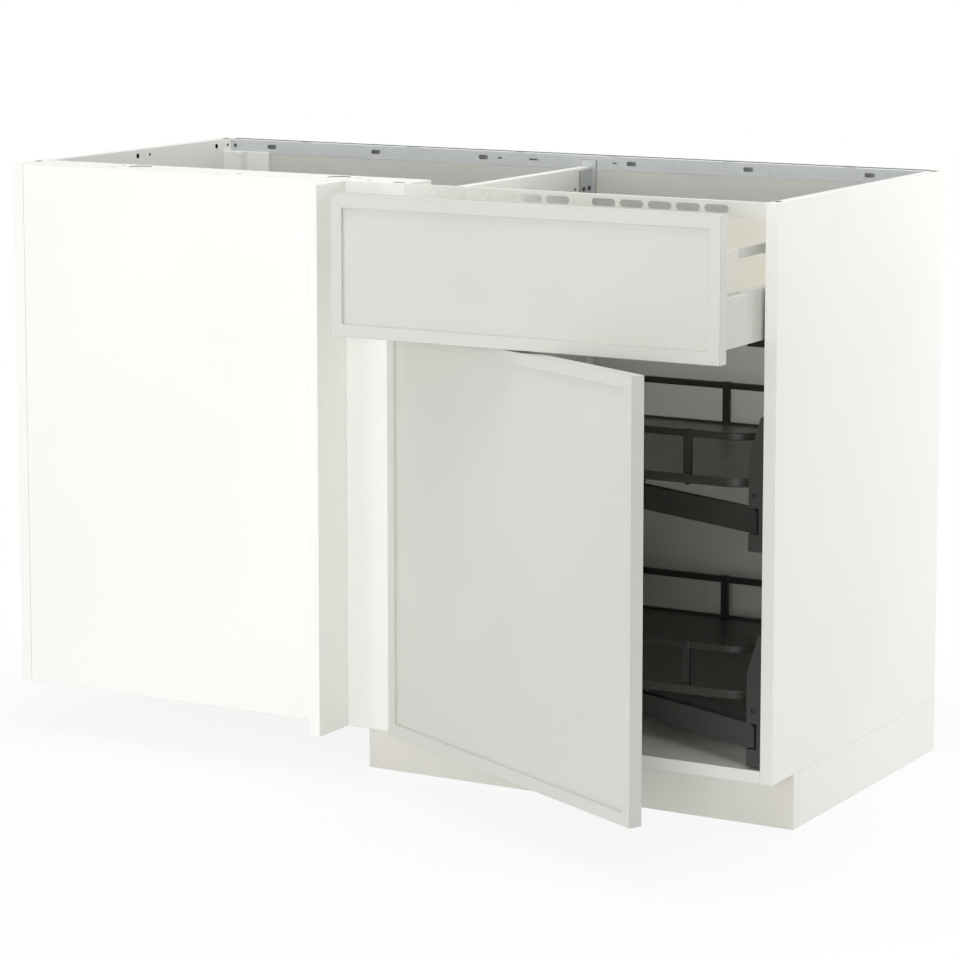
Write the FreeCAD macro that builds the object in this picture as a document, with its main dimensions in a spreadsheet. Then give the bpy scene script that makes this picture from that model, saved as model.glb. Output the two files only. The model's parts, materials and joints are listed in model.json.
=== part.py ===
import FreeCAD
import Part

import math
import os
import re

import Sketcher

# Corner base cabinet: a blind corner behind a fixed panel, and beside it a bay with one drawer over
# one hinged door. Two kidney trays swing out of the corner on pairs of arms. Millimetres, +Z up.
# The drawer stands part open and the door part open, as at rest.
# In the formulas x runs right from the left side, y runs back from the carcass front and z runs up.

SIZES = {
    # carcass boards
    "width": 1275,
    "depth": 582,
    "leg_height": 80,
    "carcass_height": 800,
    "board": 18,
    "back_board": 8,
    "back_recess": 8,
    "back_strip_width": 13,
    "back_strip_thick": 3,
    "filler_width": 90,
    "filler_proud": 78,
    "filler_overlap": 9,
    "stile_depth": 70,
    "divider_height": 222,
    "top_board_depth": 74,
    "corner_post_width": 36,
    "corner_post_depth": 23,
    "corner_post_drop": 20,
    "corner_strip_width": 42,
    "corner_strip_thick": 6,
    # drilled holes in the sides
    "large_hole_radius": 4,
    "small_hole_radius": 2.5,
    "hole_depth": 12,
    "rail_hole_drop": 10,
    "shelf_hole_drop": 50,
    "front_hole_setback": 301,
    "rear_hole_setback": 58,
    "hole_pair_step": 33,
    "shelf_hole_setback": 69,
    # steel rails along the top
    "rail_gauge": 1.5,
    "rail_height": 22,
    "front_rail_flange": 8,
    "front_slots_a_row": 5,
    "front_slot_height": 11,
    "front_slot_web": 6,
    "front_slot_end": 74,
    "front_slot_middle": 72,
    "wall_slot_length": 17,
    "wall_slot_height": 7,
    "wall_slot_pitch": 200,
    "wall_slots_a_row": 3,
    "wall_slot_first": 81,
    "wall_slot_last": 94,
    "flange_slot_length": 20,
    "flange_slot_width": 6,
    "flange_slot_after": 63,
    "flange_slot_before": 36,
    "tab_slot_long": 16,
    "tab_slot_short": 8,
    "tab_slot_height": 3,
    "tab_slot_first": 511,
    "tab_slot_second": 572,
    "tab_slot_third": 716,
    # fittings
    "plug_radius": 17.5,
    "plug_depth": 12,
    "plug_first": 202,
    "plug_last": 122,
    "plug_setback": 48,
    "dowel_radius": 4,
    "dowel_depth": 15,
    "dowel_sunk": 3,
    "dowel_inset": 23,
    "dowel_first": 170,
    "dowel_middle": 396,
    "dowel_late": 88,
    "dowel_last": 56,
    "screw_radius": 3.5,
    "screw_head": 2.5,
    "bracket_gauge": 1.5,
    "bracket_leg": 40,
    "bracket_return": 9,
    "bracket_height": 37,
    "bracket_hook": 11,
    "bracket_screw_inset": 9,
    "bracket_screw_spread": 9,
    # plinth and legs
    "plinth_board": 16,
    "plinth_setback": 73,
    "leg_front_setback": 150,
    "leg_rear_inset": 62,
    "left_leg_inset": 80,
    "left_leg_setback": 380,
    "middle_leg_inset": 35,
    "right_leg_inset": 75,
    "socket_plate": 64,
    "socket_plate_thick": 4,
    "socket_radius": 19,
    "socket_bore": 14,
    "socket_lift": 30,
    "socket_roof": 6,
    "foot_radius": 26,
    "foot_thick": 8,
    "foot_headroom": 12,
    "running_clearance": 0.05,
    "clip_half_width": 15,
    "clip_height": 18,
    "clip_lift": 44,
    # fronts
    "front_gap": 1.5,
    "front_width": 597,
    "front_thick": 20,
    "front_frame": 18,
    "front_recess": 4,
    "drawer_front_height": 197,
    "door_gap": 3,
    "door_open": 27,
    # door hinges
    "hinge_inset": 7,
    "hinge_depth": 11.5,
    "hinge_end": 100,
    "hinge_mortise_width": 20,
    "hinge_mortise_floor": 4,
    "hinge_mortise_half": 14,
    "hinge_liner": 1,
    "hinge_cheek": 3,
    "hinge_ear": 12,
    "hinge_ear_thick": 1,
    "hinge_pin_radius": 1.25,
    "hinge_knuckle_radius": 2.6,
    "hinge_knuckle_half": 10.5,
    "hinge_link_thick": 2.4,
    "hinge_link_half": 9,
    "hinge_link_length": 26,
    "hinge_link_angle": 48,
    "hinge_plate_thick": 2,
    "hinge_plate_half": 20,
    "hinge_plate_length": 40,
    "hinge_screw_spread": 15,
    "hinge_plate_setback": 18,
    "hinge_arm_front": 2,
    "hinge_arm_thick": 10,
    # drawer
    "drawer_out": 150,
    "drawer_gap": 4,
    "drawer_side_thick": 20,
    "drawer_side_gauge": 1.2,
    "drawer_side_height": 71,
    "drawer_side_lift": 12.5,
    "drawer_board": 16,
    "drawer_board_lift": 4,
    "drawer_back_height": 129,
    "gallery_lift": 116,
    "gallery_height": 14,
    "gallery_thick": 8,
    "gallery_wing_length": 90,
    "front_bracket_thick": 2,
    "front_bracket_reach": 40,
    "runner_gauge": 1.5,
    "runner_clear": 1.8,
    "runner_height": 40,
    "runner_ledge": 28,
    "runner_drop": 10.5,
    "runner_length": 500,
    "runner_front": 4,
    "runner_play": 0.5,
    "runner_lift": 1,
    "runner_stop_length": 16,
    # swing-out trays
    "tray_lift": 80,
    "tray_spacing": 300,
    "tray_thick": 10,
    "tray_rim": 4,
    "tray_rim_height": 4,
    "tray_front": 68,
    "tray_back_gap": 54,
    "tray_right_gap": 45,
    "tray_left": 279,
    "tray_lobe_depth": 250,
    "tray_waist_depth": 167,
    "tray_nose_width": 212,
    "tray_waist_run": 265,
    "tray_shoulder_run": 135,
    "tray_front_corner": 45,
    "tray_back_corner": 90,
    "tray_lobe_corner": 118,
    "tray_shoulder_corner": 100,
    "tray_waist_corner": 90,
    "tray_nose_corner": 110,
    "tray_rail_inset": 5,
    "tray_rail_width": 6,
    "tray_rail_height": 10,
    "tray_rail_lift": 52,
    "tray_post_width": 12,
    "arm_length": 250,
    "arm_angle": 157.7,
    "arm_thick": 10,
    "arm_height": 35,
    "arm_drop": 16,
    "arm_tail": 8,
    "arm_tail_round": 9,
    "arm_end_radius": 11,
    "arm_pin_radius": 3,
    "arm_pin_reach": 10,
    "arm_slot_play": 0.5,
    "arm_spacing": 250,
    "arm_pivot_setback": 12,
    "arm_pivot_inset": 18,
    "tray_boss_radius": 15,
    "arm_bracket_width": 23,
    "arm_bracket_ahead": 9,
    "arm_bracket_depth": 40,
    "arm_bracket_wall": 7.5,
    "arm_bracket_lift": 4,
    "arm_bracket_height": 186,
    "arm_bracket_bevel": 17,
    "arm_bracket_bevel_height": 54,
}

PLACES = {
    "floor_top": "leg_height + board",
    "carcass_top": "leg_height + carcass_height",
    "board_under": "carcass_top - board",
    "rail_under": "carcass_top - rail_height",
    "right_inner": "width - board",
    "back_face": "depth - back_recess - back_board",
    "fronts_right": "width - front_gap",
    "fronts_left": "fronts_right - front_width",
    "divider_left": "fronts_left - front_gap",
    "divider_right": "divider_left + board",
    "divider_under": "board_under - divider_height",
    "filler_left": "divider_left - filler_width",
    "return_left": "filler_left - filler_overlap",
    "hinge_x": "fronts_left + hinge_inset",
    "hinge_y": "-(door_gap + hinge_depth)",
    "door_height": "carcass_height - drawer_front_height - 4 * front_gap",
    "door_bottom": "leg_height + front_gap",
    "door_top": "door_bottom + door_height",
    "drawer_bottom_edge": "door_top + 2 * front_gap",
    "drawer_plane": "-(door_gap + drawer_out)",
    "drawer_left": "divider_right + drawer_gap",
    "drawer_right": "right_inner - drawer_gap",
    "drawer_base": "drawer_bottom_edge + drawer_side_lift",
    "drawer_rear": "drawer_plane + runner_length",
    "runner_base": "drawer_base - runner_drop",
    "upright_in": "drawer_gap + drawer_side_gauge + runner_clear",
    "middle_in": "upright_in + runner_gauge + runner_play",
    "tongue_in": "middle_in + runner_gauge + runner_play",
    "tongue_out": "drawer_gap + drawer_side_thick - drawer_side_gauge",
    "middle_out": "(middle_in + tongue_out) / 2",
    "front_slot_room": "right_inner - divider_right - 2 * front_slot_end - front_slot_middle",
    "front_slot_pitch": "front_slot_room / (2 * front_slots_a_row - 2)",
    "socket_bore_top": "leg_height - socket_plate_thick - socket_roof",
    "pivot_x": "right_inner - arm_pivot_inset",
    "tray_pivot_x": "pivot_x + arm_length * cos(arm_angle)",
    "tray_pivot_y": "arm_pivot_setback + arm_length * sin(arm_angle)",
    "tray_base_z": "floor_top + tray_lift",
    "tray_right": "right_inner - tray_right_gap",
    "tray_back": "back_face - tray_back_gap",
    "tray_nose_x": "tray_right - tray_nose_width",
    "tray_waist_x": "tray_nose_x - tray_waist_run",
    "tray_lobe_end": "tray_waist_x - tray_shoulder_run",
    "tray_waist_y": "tray_back - tray_waist_depth",
    "tray_lobe_front": "tray_back - tray_lobe_depth",
    "door_swept": "(front_width - hinge_inset) * sin(door_open)",
    "door_reach": "door_swept + (front_thick - hinge_depth) * cos(door_open)",
    "front_reach": "max(door_reach - hinge_y; front_thick - drawer_plane; filler_proud)",
    "mid_x": "width / 2",
    "mid_y": "(depth - front_reach) / 2",
}

doc = FreeCAD.newDocument("corner_base_cabinet")
nodes = []

sheet = doc.addObject("Spreadsheet::Sheet", "Sizes")
for row, (alias, size) in enumerate(SIZES.items(), start=1):
    sheet.set(f"A{row}", alias)
    sheet.set(f"B{row}", str(size))
    sheet.setAlias(f"B{row}", alias)
doc.recompute()


def words(formula):
    """Point each named size or place in a formula at the cell or property that holds it."""
    def cell(match):
        name = match.group()
        if name in SIZES:
            return f"Sizes.{name}"
        return f"Places.{name}" if name in PLACES else name
    return re.sub(r"[a-z][a-z0-9_]*", cell, formula)


def bind(thing, prop, formula):
    thing.setExpression(prop, words(formula))


places = doc.addObject("App::VarSet", "Places")
for place_name, place_formula in PLACES.items():
    places.addProperty("App::PropertyFloat", place_name)
    bind(places, place_name, place_formula)
doc.recompute()


def value(name):
    """The number that a size's cell or a place holds."""
    return float(sheet.get(name)) if name in SIZES else getattr(places, name)


# building blocks

TURNS = {
    "x": FreeCAD.Rotation(FreeCAD.Vector(0, 1, 0), 90),
    "y": FreeCAD.Rotation(FreeCAD.Vector(1, 0, 0), -90),
    "z": FreeCAD.Rotation(),
}
DOOR_TURN = FreeCAD.Rotation(FreeCAD.Vector(0, 0, -1), SIZES["door_open"])
ARM_TURN = FreeCAD.Rotation(FreeCAD.Vector(0, 0, 1), SIZES["arm_angle"])
LINK_TURN = FreeCAD.Rotation(FreeCAD.Vector(0, 0, 1), SIZES["hinge_link_angle"])
UPRIGHT = FreeCAD.Rotation(FreeCAD.Vector(1, 0, 0), 90)


def put(thing, x, y, z, local=False):
    """Bind a place. A local one is counted from its own pivot instead of the cabinet's middle."""
    mid_x, mid_y = ("0", "0") if local else ("mid_x", "mid_y")
    bind(thing, "Placement.Base.x", f"({x}) - {mid_x}")
    bind(thing, "Placement.Base.y", f"({y}) - {mid_y}")
    bind(thing, "Placement.Base.z", z)
    return thing


def box(x, y, z, local=False):
    """A block between pairs of low and high formulas."""
    solid = doc.addObject("Part::Box", "Block")
    for prop, (low, high) in zip(("Length", "Width", "Height"), (x, y, z)):
        bind(solid, prop, f"({high}) - ({low})")
    return put(solid, x[0], y[0], z[0], local)


def rod(axis, at, span, radius, local=False):
    """A cylinder along one axis, through a point given on the other two."""
    solid = doc.addObject("Part::Cylinder", "Rod")
    solid.Placement = FreeCAD.Placement(FreeCAD.Vector(), TURNS[axis])
    bind(solid, "Radius", radius)
    bind(solid, "Height", f"({span[1]}) - ({span[0]})")
    corner = list(at)
    corner.insert("xyz".index(axis), span[0])
    return put(solid, *corner, local)


def around(middle, half):
    """The pair of formulas half a size each side of a middle."""
    return (f"({middle}) - ({half})", f"({middle}) + ({half})")


def join(*things):
    whole = doc.addObject("Part::MultiFuse", "Whole")
    whole.Shapes = list(things)
    return whole


def group(*things):
    """Separate solids that share one node."""
    several = doc.addObject("Part::Compound", "Several")
    several.Links = list(things)
    return several


def cut(base, *tools):
    rest = doc.addObject("Part::Cut", "Rest")
    rest.Base = base
    rest.Tool = tools[0] if len(tools) == 1 else group(*tools)
    return rest


def node(label, thing):
    thing.Label = label
    nodes.append(thing)
    return thing


def slot(axis, middle_x, middle, length, height, span):
    """A cutter for a slot with round ends, along X and through Y or Z."""
    half = f"({height}) / 2"
    reach = f"(({length}) - ({height})) / 2"
    ends = [rod(axis, (f"({middle_x}) {sign} {reach}", middle), span, half) for sign in "+-"]
    tall = around(middle, half)
    sides = (span, tall) if axis == "y" else (tall, span)
    return join(box(around(middle_x, reach), *sides), *ends)


def rectangle(body, name, x, z, offset):
    """A sketch on the body's XZ plane: a rectangle between bound corners, set off along -Y."""
    sketch = body.newObject("Sketcher::SketchObject", name)
    plane = next(face for face in body.Origin.OriginFeatures if face.Role == "XZ_Plane")
    sketch.AttachmentSupport = [(plane, "")]
    sketch.MapMode = "FlatFace"
    bind(sketch, "AttachmentOffset.Base.z", offset)
    corners = [FreeCAD.Vector(*spot) for spot in ((1, 1, 0), (2, 1, 0), (2, 2, 0), (1, 2, 0))]
    for number in range(4):
        sketch.addGeometry(Part.LineSegment(corners[number], corners[(number + 1) % 4]))
    for number in range(4):
        sketch.addConstraint(Sketcher.Constraint("Coincident", number, 2, (number + 1) % 4, 1))
        side = "Horizontal" if number % 2 == 0 else "Vertical"
        sketch.addConstraint(Sketcher.Constraint(side, number))
    for line, (along, up) in ((0, (x[0], z[0])), (2, (x[1], z[1]))):
        limits = (("DistanceX", corners[line].x, along), ("DistanceY", corners[line].y, up))
        for kind, start, formula in limits:
            count = sketch.addConstraint(Sketcher.Constraint(kind, -1, 1, line, 1, start))
            bind(sketch, f"Constraints[{count}]", formula)
    return sketch


def framed_front(x, z, back):
    """A front with a narrow raised frame round a sunk panel; back is how far its back lies along Y."""
    body = doc.addObject("PartDesign::Body", "Front")
    outline = rectangle(body, "Outline", x, z, f"-({back})")
    pad = body.newObject("PartDesign::Pad", "Slab")
    pad.Profile = outline
    bind(pad, "Length", "front_thick")
    inner_x = (f"{x[0]} + front_frame", f"{x[1]} - front_frame")
    inner_z = (f"{z[0]} + front_frame", f"{z[1]} - front_frame")
    panel = rectangle(body, "Panel", inner_x, inner_z, f"front_thick - ({back})")
    pocket = body.newObject("PartDesign::Pocket", "Sunk")
    pocket.Profile = panel
    bind(pocket, "Length", "front_recess")
    doc.recompute()
    return body


# carcass

TAB_SLOTS = (
    ("tab_slot_first", "tab_slot_short"),
    ("tab_slot_second", "tab_slot_long"),
    ("tab_slot_third", "tab_slot_short"),
)


def side_panels():
    """Two sides, each drilled inside for the rails and the shelf pins."""
    upper = "carcass_top - rail_hole_drop"
    holes = []
    for first in ("front_hole_setback", "depth - rear_hole_setback"):
        holes.append((first, upper, "large_hole_radius"))
        holes.append((f"{first} + hole_pair_step", upper, "small_hole_radius"))
    holes.append(("depth - shelf_hole_setback", "carcass_top - shelf_hole_drop", "small_hole_radius"))
    height = ("leg_height", "carcass_top")
    for label, faces, drilled in (
        ("left_side_panel", ("0", "board"), ("board - hole_depth", "board")),
        ("right_side_panel", ("right_inner", "width"), ("right_inner", "right_inner + hole_depth")),
    ):
        panel = box(faces, ("0", "depth"), height)
        bores = [rod("x", (y, z), drilled, radius) for y, z, radius in holes]
        node(label, cut(panel, *bores))


def carcass_boards():
    bottom = box(("board", "right_inner"), ("0", "back_face"), ("leg_height", "floor_top"))
    ahead = box(("board", "divider_left"), ("0", "board"), ("leg_height", "floor_top"))
    node("bottom_panel", cut(bottom, ahead))
    depth_span = ("back_face", "depth - back_recess")
    for label, low, high in (
        ("back_panel_left", "board", "divider_left"),
        ("back_panel_right", "divider_left", "right_inner"),
    ):
        node(label, box((low, high), depth_span, ("leg_height", "rail_under")))
    strip = around("divider_right", "back_strip_width / 2")
    strip_y = ("back_face - back_strip_thick", "back_face")
    node("back_joint_strip", box(strip, strip_y, ("floor_top", "divider_under")))
    node("blind_front_panel", box(("board", "filler_left"), ("0", "board"), ("leg_height", "carcass_top")))
    node("filler_face", box(("filler_left", "divider_left"), ("0", "board"), ("leg_height", "board_under")))
    proud = ("-filler_proud", "0")
    returned = ("return_left", "return_left + board")
    node("filler_return", box(returned, proud, ("leg_height", "carcass_top")))
    middle = ("divider_left", "divider_right")
    node("hinge_stile", box(middle, ("0", "stile_depth"), ("floor_top", "divider_under")))
    divider = box(middle, ("0", "back_face"), ("divider_under", "board_under"))
    pin_y = "depth - shelf_hole_setback"
    pin_z = "carcass_top - shelf_hole_drop"
    bore = rod("x", (pin_y, pin_z), ("divider_right - hole_depth", "divider_right"), "small_hole_radius")
    node("divider_panel", cut(divider, bore))
    post_x = ("board", "board + corner_post_width")
    strip_x = ("board + corner_post_width", "board + corner_post_width + corner_strip_width")
    post_z = ("floor_top", "carcass_top - corner_post_drop")
    post = box(post_x, ("back_face - corner_post_depth", "back_face"), post_z)
    flat = box(strip_x, ("back_face - corner_strip_thick", "back_face"), post_z)
    node("rear_corner_post", join(post, flat))


def top_board():
    """The flat board behind the blind panel's top edge and over the filler, with plugs in its fixing holes
    and dowels sunk a little."""
    height = ("board_under", "carcass_top")
    board = box(("board", "divider_right"), ("0", "top_board_depth"), height)
    plugs = []
    dowels = []
    pockets = [box(("board", "filler_left"), ("0", "board"), height)]
    plug_z = ("carcass_top - plug_depth", "carcass_top")
    for x in ("plug_first", "divider_left - plug_last"):
        plugs.append(rod("z", (x, "plug_setback"), plug_z, "plug_radius"))
        pockets.append(rod("z", (x, "plug_setback"), plug_z, "plug_radius"))
    for at in (
        ("dowel_first", "plug_setback"),
        ("dowel_first", "dowel_inset"),
        ("dowel_middle", "dowel_inset"),
        ("divider_left - dowel_late", "plug_setback"),
        ("divider_left - dowel_last", "dowel_inset"),
    ):
        low = "carcass_top - dowel_depth"
        dowels.append(rod("z", at, (low, "carcass_top - dowel_sunk"), "dowel_radius"))
        pockets.append(rod("z", at, (low, "carcass_top"), "dowel_radius"))
    node("top_front_board", cut(board, *pockets))
    node("cover_plugs", group(*plugs))
    node("top_board_dowels", group(*dowels))


def front_rail():
    """A pressed channel over the drawer, pierced by two rows of slots."""
    span = ("divider_right", "right_inner")
    height = ("rail_under", "carcass_top")
    web = box(span, ("0", "rail_gauge"), height)
    top = box(span, ("0", "front_rail_flange"), ("carcass_top - rail_gauge", "carcass_top"))
    low = box(span, ("0", "front_rail_flange"), ("rail_under", "rail_under + rail_gauge"))
    through = ("-rail_gauge", "2 * rail_gauge")
    z = "carcass_top - rail_height / 2"
    length = "front_slot_pitch - front_slot_web"
    slots = []
    for end in ("divider_right + front_slot_end +", "right_inner - front_slot_end -"):
        for step in range(round(value("front_slots_a_row"))):
            x = f"{end} {step} * front_slot_pitch"
            slots.append(slot("y", x, z, length, "front_slot_height", through))
    node("front_top_rail", cut(join(web, top, low), *slots))


def rear_rail():
    """The wall rail: a galvanised angle with two rows of wall slots, each with a slot in the flange
    beside it, and three small tab slots."""
    span = ("board", "right_inner")
    web = box(span, ("back_face", "back_face + rail_gauge"), ("rail_under", "carcass_top"))
    flange = box(span, ("back_face", "depth"), ("carcass_top - rail_gauge", "carcass_top"))
    through = ("back_face - rail_gauge", "back_face + 2 * rail_gauge")
    z = "carcass_top - rail_height / 2"
    slots = []
    flange_y = "(back_face + depth) / 2"
    flange_z = ("carcass_top - 2 * rail_gauge", "carcass_top + rail_gauge")
    for end, beside_it in (
        ("board + wall_slot_first +", "+ flange_slot_after"),
        ("right_inner - wall_slot_last -", "- flange_slot_before"),
    ):
        for step in range(round(value("wall_slots_a_row"))):
            x = f"{end} {step} * wall_slot_pitch"
            slots.append(slot("y", x, z, "wall_slot_length", "wall_slot_height", through))
            flange_x = f"{x} {beside_it}"
            slots.append(slot("z", flange_x, flange_y, "flange_slot_length", "flange_slot_width", flange_z))
    for place, length in TAB_SLOTS:
        slots.append(slot("y", f"board + {place}", z, length, "tab_slot_height", through))
    node("rear_top_rail", cut(join(web, flange), *slots))


def divider_bracket():
    """An angle bracket in the corner of divider and back, with a hook that stands over the divider's end
    against the wall rail."""
    top = "rail_under"
    height = (f"{top} - bracket_height", top)
    on_divider_x = ("divider_right", "divider_right + bracket_gauge")
    on_divider = box(on_divider_x, ("back_face - bracket_leg", "back_face"), height)
    on_back_x = ("divider_right", "divider_right + bracket_return")
    on_back = box(on_back_x, ("back_face - bracket_gauge", "back_face"), height)
    hook_y = ("back_face - bracket_gauge", "back_face")
    hook_top = "board_under + bracket_hook"
    neck = box(("divider_right", "divider_right + bracket_return"), hook_y, (top, hook_top))
    hook = box(("divider_left", "divider_right"), hook_y, ("board_under", hook_top))
    node("divider_bracket", join(on_divider, on_back, neck, hook))


def screws():
    """Heads of the screws that hold the divider bracket and the hinge plates."""
    heads = []
    bracket_face = "divider_right + bracket_gauge"
    for side in "+-":
        z = "rail_under - bracket_height + bracket_screw_inset"
        spot = (f"back_face - bracket_leg / 2 {side} bracket_screw_spread", z)
        heads.append(rod("x", spot, (bracket_face, f"{bracket_face} + screw_head"), "screw_radius"))
    plate_face = "divider_right + hinge_plate_thick"
    for z in hinge_heights():
        for side in "+-":
            spot = ("hinge_plate_setback + hinge_plate_length / 2", f"{z} {side} hinge_screw_spread")
            heads.append(rod("x", spot, (plate_face, f"{plate_face} + screw_head"), "screw_radius"))
    node("bracket_screws", group(*heads))


# plinth and legs

def leg_spots():
    rear = "depth - leg_rear_inset"
    spots = [("left_leg_inset", "left_leg_setback"), ("left_leg_inset", rear)]
    for x in ("divider_left - middle_leg_inset", "width - right_leg_inset"):
        spots.append((x, "leg_front_setback"))
        spots.append((x, rear))
    return spots


def plinth():
    back = "plinth_setback + plinth_board"
    height = ("0", "leg_height")
    node("plinth_front", box(("filler_left", "width"), ("plinth_setback", back), height))
    node("plinth_side", box(("right_inner", "width"), (back, "depth"), height))
    clip_z = ("clip_lift", "clip_lift + clip_height")
    spots = leg_spots()
    clips = []
    for x, y in (spots[2], spots[4]):
        block = box(around(x, "clip_half_width"), (back, y), clip_z)
        clips.append(cut(block, rod("z", (x, y), clip_z, "socket_radius + running_clearance")))
    x, y = spots[5]
    block = box((x, "right_inner"), around(y, "clip_half_width"), clip_z)
    clips.append(cut(block, rod("z", (x, y), clip_z, "socket_radius + running_clearance")))
    node("plinth_clips", group(*clips))


def legs():
    """Six sockets under the floor, each with a foot that screws out of it."""
    sockets = []
    for number, (x, y) in enumerate(leg_spots(), start=1):
        plate_z = ("leg_height - socket_plate_thick", "leg_height")
        plate = box(around(x, "socket_plate / 2"), around(y, "socket_plate / 2"), plate_z)
        tube = rod("z", (x, y), ("socket_lift", "leg_height - socket_plate_thick"), "socket_radius")
        bore = rod("z", (x, y), ("socket_lift", "socket_bore_top"), "socket_bore")
        sockets.append(cut(join(plate, tube), bore))
        disc = rod("z", (x, y), ("0", "foot_thick"), "foot_radius")
        stem_z = ("foot_thick", "socket_bore_top - foot_headroom")
        stem = rod("z", (x, y), stem_z, "socket_bore - running_clearance")
        node(f"foot_{number}", join(disc, stem))
    node("leg_sockets", group(*sockets))


# door

def hinge_heights():
    return ("door_bottom + hinge_end", "door_top - hinge_end")


def on_door(thing):
    """Place a piece that was built from the hinge axis, turned with the open door."""
    thing.Placement = FreeCAD.Placement(FreeCAD.Vector(), DOOR_TURN)
    bind(thing, "Placement.Rotation.Angle", "door_open")
    return put(thing, "hinge_x", "hinge_y", "0")


def door():
    left = "-hinge_inset"
    slab = framed_front((left, "front_width - hinge_inset"), ("door_bottom", "door_top"), "hinge_depth")
    floor = "-hinge_mortise_floor"
    inner = "hinge_mortise_width - hinge_inset"
    mortises = []
    liners = []
    pins = []
    for z in hinge_heights():
        tall = around(z, "hinge_mortise_half")
        mortises.append(box((left, inner), (floor, "hinge_depth"), tall, True))
        lined = ("-hinge_knuckle_radius - hinge_liner", inner)
        pieces = [box(lined, (floor, f"{floor} + hinge_liner"), tall, True)]
        for side in ("+", "-"):
            outer = f"{z} {side} hinge_mortise_half"
            cheek = f"{outer} {'-' if side == '+' else '+'} hinge_cheek"
            ear = f"{outer} {side} hinge_ear"
            cheek_z = (cheek, outer) if side == "+" else (outer, cheek)
            ear_z = (cheek, ear) if side == "+" else (ear, cheek)
            pieces.append(box(lined, (floor, "hinge_depth"), cheek_z, True))
            pieces.append(box(lined, ("hinge_depth", "hinge_depth + hinge_ear_thick"), ear_z, True))
        hole = rod("z", ("0", "0"), tall, "hinge_pin_radius", True)
        liners.append(cut(join(*pieces), hole))
        pins.append(rod("z", ("0", "0"), tall, "hinge_pin_radius", True))
    node("door_front", on_door(cut(slab, *mortises)))
    node("hinge_cups", on_door(group(*liners)))
    node("hinge_pins", on_door(group(*pins)))


def hinge_arms():
    """On the stile: a plate, and an arm whose link reaches round the stile's edge to the pin."""
    plates = []
    arms = []
    for z in hinge_heights():
        plate_x = ("divider_right", "divider_right + hinge_plate_thick")
        plate_y = ("hinge_plate_setback", "hinge_plate_setback + hinge_plate_length")
        plates.append(box(plate_x, plate_y, around(z, "hinge_plate_half")))
        body_x = (plate_x[1], f"{plate_x[1]} + hinge_arm_thick")
        body_y = ("hinge_arm_front", "hinge_plate_setback + hinge_plate_length")
        body = box(body_x, body_y, around(z, "hinge_link_half"))
        knuckle_z = around(z, "hinge_knuckle_half")
        knuckle = rod("z", ("hinge_x", "hinge_y"), knuckle_z, "hinge_knuckle_radius")
        link_y = around("0", "hinge_link_thick / 2")
        link = group(box(("0", "hinge_link_length"), link_y, around(z, "hinge_link_half"), True))
        link.Placement = FreeCAD.Placement(FreeCAD.Vector(), LINK_TURN)
        bind(link, "Placement.Rotation.Angle", "hinge_link_angle")
        put(link, "hinge_x", "hinge_y", "0")
        bore = rod("z", ("hinge_x", "hinge_y"), knuckle_z, "hinge_pin_radius + running_clearance")
        arms.append(cut(join(body, knuckle, link), bore))
    node("hinge_plates", group(*plates))
    node("hinge_arms", group(*arms))


# drawer

def beside(face, side, low, high):
    """A pair of formulas counted off a face, to its right for side 1 and to its left for side -1."""
    if side > 0:
        return (f"{face} + {low}", f"{face} + {high}")
    return (f"{face} - ({high})", f"{face} - ({low})")


def drawer():
    front_x = ("fronts_left - mid_x", "fronts_right - mid_x")
    front_z = ("drawer_bottom_edge", "drawer_bottom_edge + drawer_front_height")
    front = framed_front(front_x, front_z, "0")
    bind(front, "Placement.Base.y", "drawer_plane - mid_y")
    node("drawer_front", front)
    start = "drawer_plane + front_bracket_thick"
    rear = "drawer_rear - drawer_board"
    inner = ("drawer_left + drawer_side_thick", "drawer_right - drawer_side_thick")
    base_z = ("drawer_base + drawer_board_lift", "drawer_base + drawer_board_lift + drawer_board")
    node("drawer_bottom", box(inner, (start, rear), base_z))
    back_z = ("drawer_base", "drawer_base + drawer_back_height")
    side_top = "drawer_base + drawer_side_height"
    between = box(inner, (rear, "drawer_rear"), (back_z[0], side_top))
    over = box(("drawer_left", "drawer_right"), (rear, "drawer_rear"), (side_top, back_z[1]))
    gallery_top = "drawer_base + gallery_lift + gallery_height"
    rails = []
    brackets = []
    for name, face, side in (("left", "drawer_left", 1), ("right", "drawer_right", -1)):
        wall = beside(face, side, "0", "drawer_side_thick")
        hollow = beside(face, side, "drawer_side_gauge", "drawer_side_thick - drawer_side_gauge")
        length = (start, "drawer_rear")
        shell = box(wall, length, ("drawer_base", side_top))
        cavity = box(hollow, length, ("drawer_base", f"{side_top} - drawer_side_gauge"))
        node(f"drawer_side_{name}", cut(shell, cavity))
        rail = beside(face, side, *around("drawer_side_thick / 2", "gallery_thick / 2"))
        wing_end = f"{start} + gallery_wing_length"
        rails.append(box(rail, (wing_end, rear), ("drawer_base + gallery_lift", gallery_top)))
        plate = beside(face, side, "0", "front_bracket_reach")
        plate = box(plate, ("drawer_plane", start), ("drawer_base", gallery_top))
        wing = box(rail, (start, wing_end), (side_top, gallery_top))
        brackets.append(join(plate, wing))
    node("drawer_back", join(between, over))
    node("gallery_rails", group(*rails))
    node("front_brackets", group(*brackets))


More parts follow.
